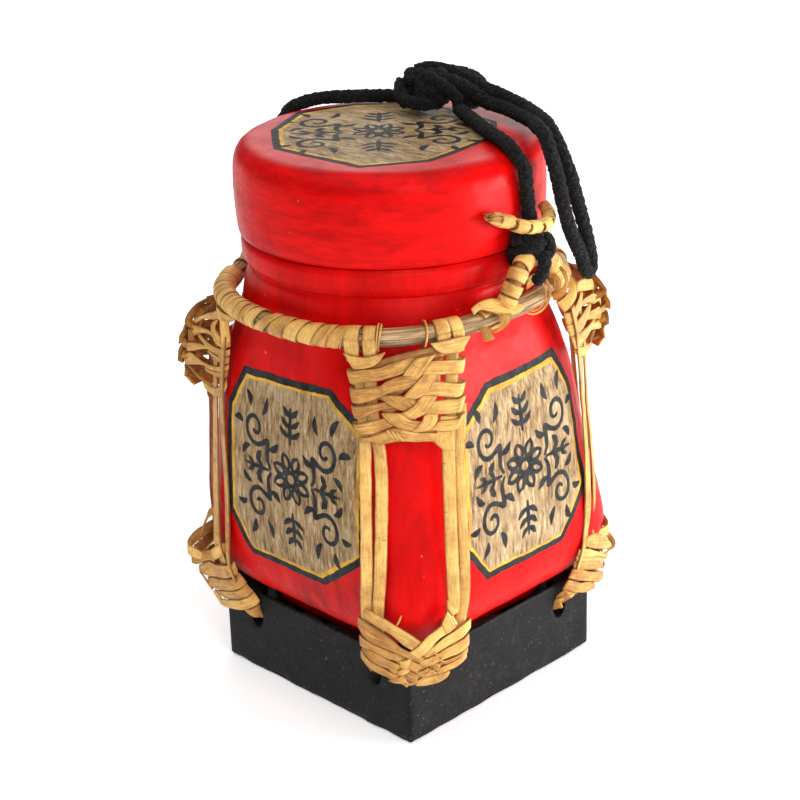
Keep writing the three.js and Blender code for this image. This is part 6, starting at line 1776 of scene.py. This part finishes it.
def coil(a0, a1, turns, r, up=0.0, lean=0.0, phase=0.0, flat=1.0):
    """Winding round the knot's long axis."""
    n = max(8, int(turns * 14))
    rows = []
    for i in range(n + 1):
        q = i / n
        w = 2 * math.pi * turns * q + phase
        rr = r * (1 + 0.07 * math.sin(3.1 * i + phase))
        rows.append((a0 + (a1 - a0) * q + lean * math.cos(w), rr * math.cos(w), up + flat * rr * math.sin(w)))
    return rows


def knot(name, centre, parts, node, body, turn_round=False, per_mm=9.0, length=(0.6, 2.0)):
    p, z = Piece(), Piece()
    for rows, radius, *more in parts:
        braid(p, spline(local(centre, rows, turn_round), 0.62), radius, fuzz=z, per_mm=more[0] if more else per_mm, length=more[1] if more else length)
    p.build(name, M["cord"], body, (node,), "black_cord")
    z.build(name + "_fibres", M["cord"], body, (), "black_cord")


TOP = [
    (coil(-15.4, -0.6, 3.6, 5.9, 0.0, 0.9, 0.6), 2.85),
    ([(-16.5, -0.6, -0.6), (-9, 0.4, -0.2), (0, 0.0, -0.4), (8, 1.5, -0.6), (15, 4.6, -1.4)], 4.2),
    ([(-19.3, 2.6, -1.6), (-17.8, 6.0, -3.4), (-14.2, 8.2, -4.2), (-9.4, 7.6, -5.0), (-5.0, 4.0, -5.4)], 2.7),
    ([(-18.6, -4.0, 1.4), (-19.4, 0.2, 0.6), (-19.0, 4.2, -2.4), (-16.6, 6.6, -5.2)], 2.7),
    ([(-13, -3, 6.4), (-7, -3, 7.6), (0, -2.0, 6.6), (7, 0.4, 4.6), (12.5, 3.5, 2.2), (17.8, 7.1, -0.4), (20.8, 8.6, -0.9)], 2.8),
    ([(-4, 3, 4.4), (3, 5.2, 3.4), (10, 7.4, 0.0), (17.1, 10.6, -4.6), (19.5, 12.0, -4.9)], 2.8),
    ([(-8, -6, -3), (-12, -9, -6), (-15.1, -12.6, -7), (-16.6, -14.4, -7.1)], 2.6),
    ([(-3, -6, 4.6), (4, -5.2, 4.8), (10, -3.0, 3.8), (14, -0.8, 1.4), (14.6, 3.2, -2.2), (11.5, 5.6, -5.0), (5.0, 4.2, -6.0)], 2.8),
    ([(-12.5, 2.5, 6.2), (-5.5, 5.8, 4.6), (1.5, 8.0, 0.0), (5, 8.2, -4.2)], 2.7),
]
knot("knot_on_top", (-5, 37, 250.2), TOP, "top_knot", "lid", per_mm=16.0, length=(0.5, 1.7))

EYE_KNOT = [
    (coil(-6.0, 4.4, 2.7, 3.3, 0.4, 0.7, 0.3, 1.15), 2.65),
    ([(-6.6, 0.5, -2.6), (-3.2, 3.4, -0.6), (1.0, 4.0, 1.6), (4.6, 2.2, 3.2)], 2.5),
    ([(2.0, -1.4, 3.4), (6.4, 0.2, 2.8), (7.2, 0.8, -1.6), (4.0, 2.4, -4.4)], 2.5, 18.0, (0.8, 2.3)),
    ([(5, 3, -1), (5.2, 4.4, -6), (4.2, 3.8, -10), (2.4, 1.4, -14)], 2.4, 14.0, (0.7, 2.0)),
    ([(0.4, -2.0, 3.4), (-1.4, -0.8, 5.6), (-2.2, 0.4, 8.2)], 2.6),
    ([(-6.0, -2.4, -1.0), (-7.0, -3.0, -5.0), (-4.4, -3.4, -9.0)], 2.4),
]
knot("eye_knot_r", (69.5, 5, 204.2), EYE_KNOT, "eye_knot_right", "root", False, 16.0, (0.6, 2.0))
knot("eye_knot_l", (-72.7, -8.2, 196.2), EYE_KNOT, "eye_knot_left", "root", True, 16.0, (0.6, 2.0))

cord_piece("cord_leg_right", RIGHT_LEG, "cord_right", "lid")
cord_piece("cord_leg_left", LEFT_LEG, "cord_left", "lid")
cord_piece("carrying_cord_loop", CARRY, "carry_loop", "carry_loop")


# ------------------------------------------------------- CAD nodes still showing
def kind(n):
    if n == "base_plinth":
        return "black"
    if n in ("body_shell", "lid_shell"):
        return "body"
    if n == "mouth_ring":
        return "wood"
    if n == "shoulder_hoop":
        return "cane"
    if n.startswith(("cord_", "carry", "top_knot", "eye_knot")):
        return "cord"
    return "rattan"


for name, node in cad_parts.items():
    o = node if hasattr(node, "material_slots") else bpy.data.objects.get(name)
    if o is not None:
        o.data.materials.clear()
        o.data.materials.append(M[kind(name)])


# ------------------------------------------------------------------------ stage
def stage():
    me = bpy.data.meshes.new("floor")
    me.from_pydata([(-4, -4, 0), (4, -4, 0), (4, 4, 0), (-4, 4, 0)], [], [(0, 1, 2, 3)])
    ob = bpy.data.objects.new("floor", me)
    ob.location = (0, 0, -0.0004)
    bpy.context.scene.collection.objects.link(ob)
    m, nt, b = mat("floor")
    b.inputs["Base Color"].default_value = (0.97, 0.97, 0.97, 1)
    b.inputs["Roughness"].default_value = 1.0
    b.inputs["Specular IOR Level"].default_value = 0.0
    b.inputs["Emission Color"].default_value = (1, 1, 1, 1)
    b.inputs["Emission Strength"].default_value = 0.32
    me.materials.append(m)
    scene = bpy.context.scene
    scene.view_settings.view_transform = 'Standard'
    w = bpy.data.worlds.new("studio")
    scene.world = w
    w.use_nodes = True
    w.node_tree.nodes["Background"].inputs["Color"].default_value = (1, 1, 1, 1)
    w.node_tree.nodes["Background"].inputs["Strength"].default_value = 0.21
    for nm, loc, size, power in (("side", (0.97, 0.77, 0.14), (0.85, 0.24), 18), ("front", (1.15, -0.55, 0.85), (0.9, 0.9), 8.8), ("back", (-0.80, 0.90, 0.68), (0.9, 0.7), 4.5)):
        l = bpy.data.lights.new(nm, 'AREA')
        l.shape = 'RECTANGLE'
        l.size, l.size_y = size
        l.energy = power
        lo = bpy.data.objects.new(nm, l)
        lo.location = loc
        lo.rotation_euler = (Vector((0, 0, 0.12)) - Vector(loc)).to_track_quat('-Z', 'Y').to_euler()
        scene.collection.objects.link(lo)
    sun = bpy.data.lights.new("sky", 'SUN')
    sun.energy, sun.angle = 1.55, 1.3
    so = bpy.data.objects.new("sky", sun)
    so.location = (0, 0, 2)
    so.rotation_euler = (0.10, 0.10, 0)
    scene.collection.objects.link(so)


stage()
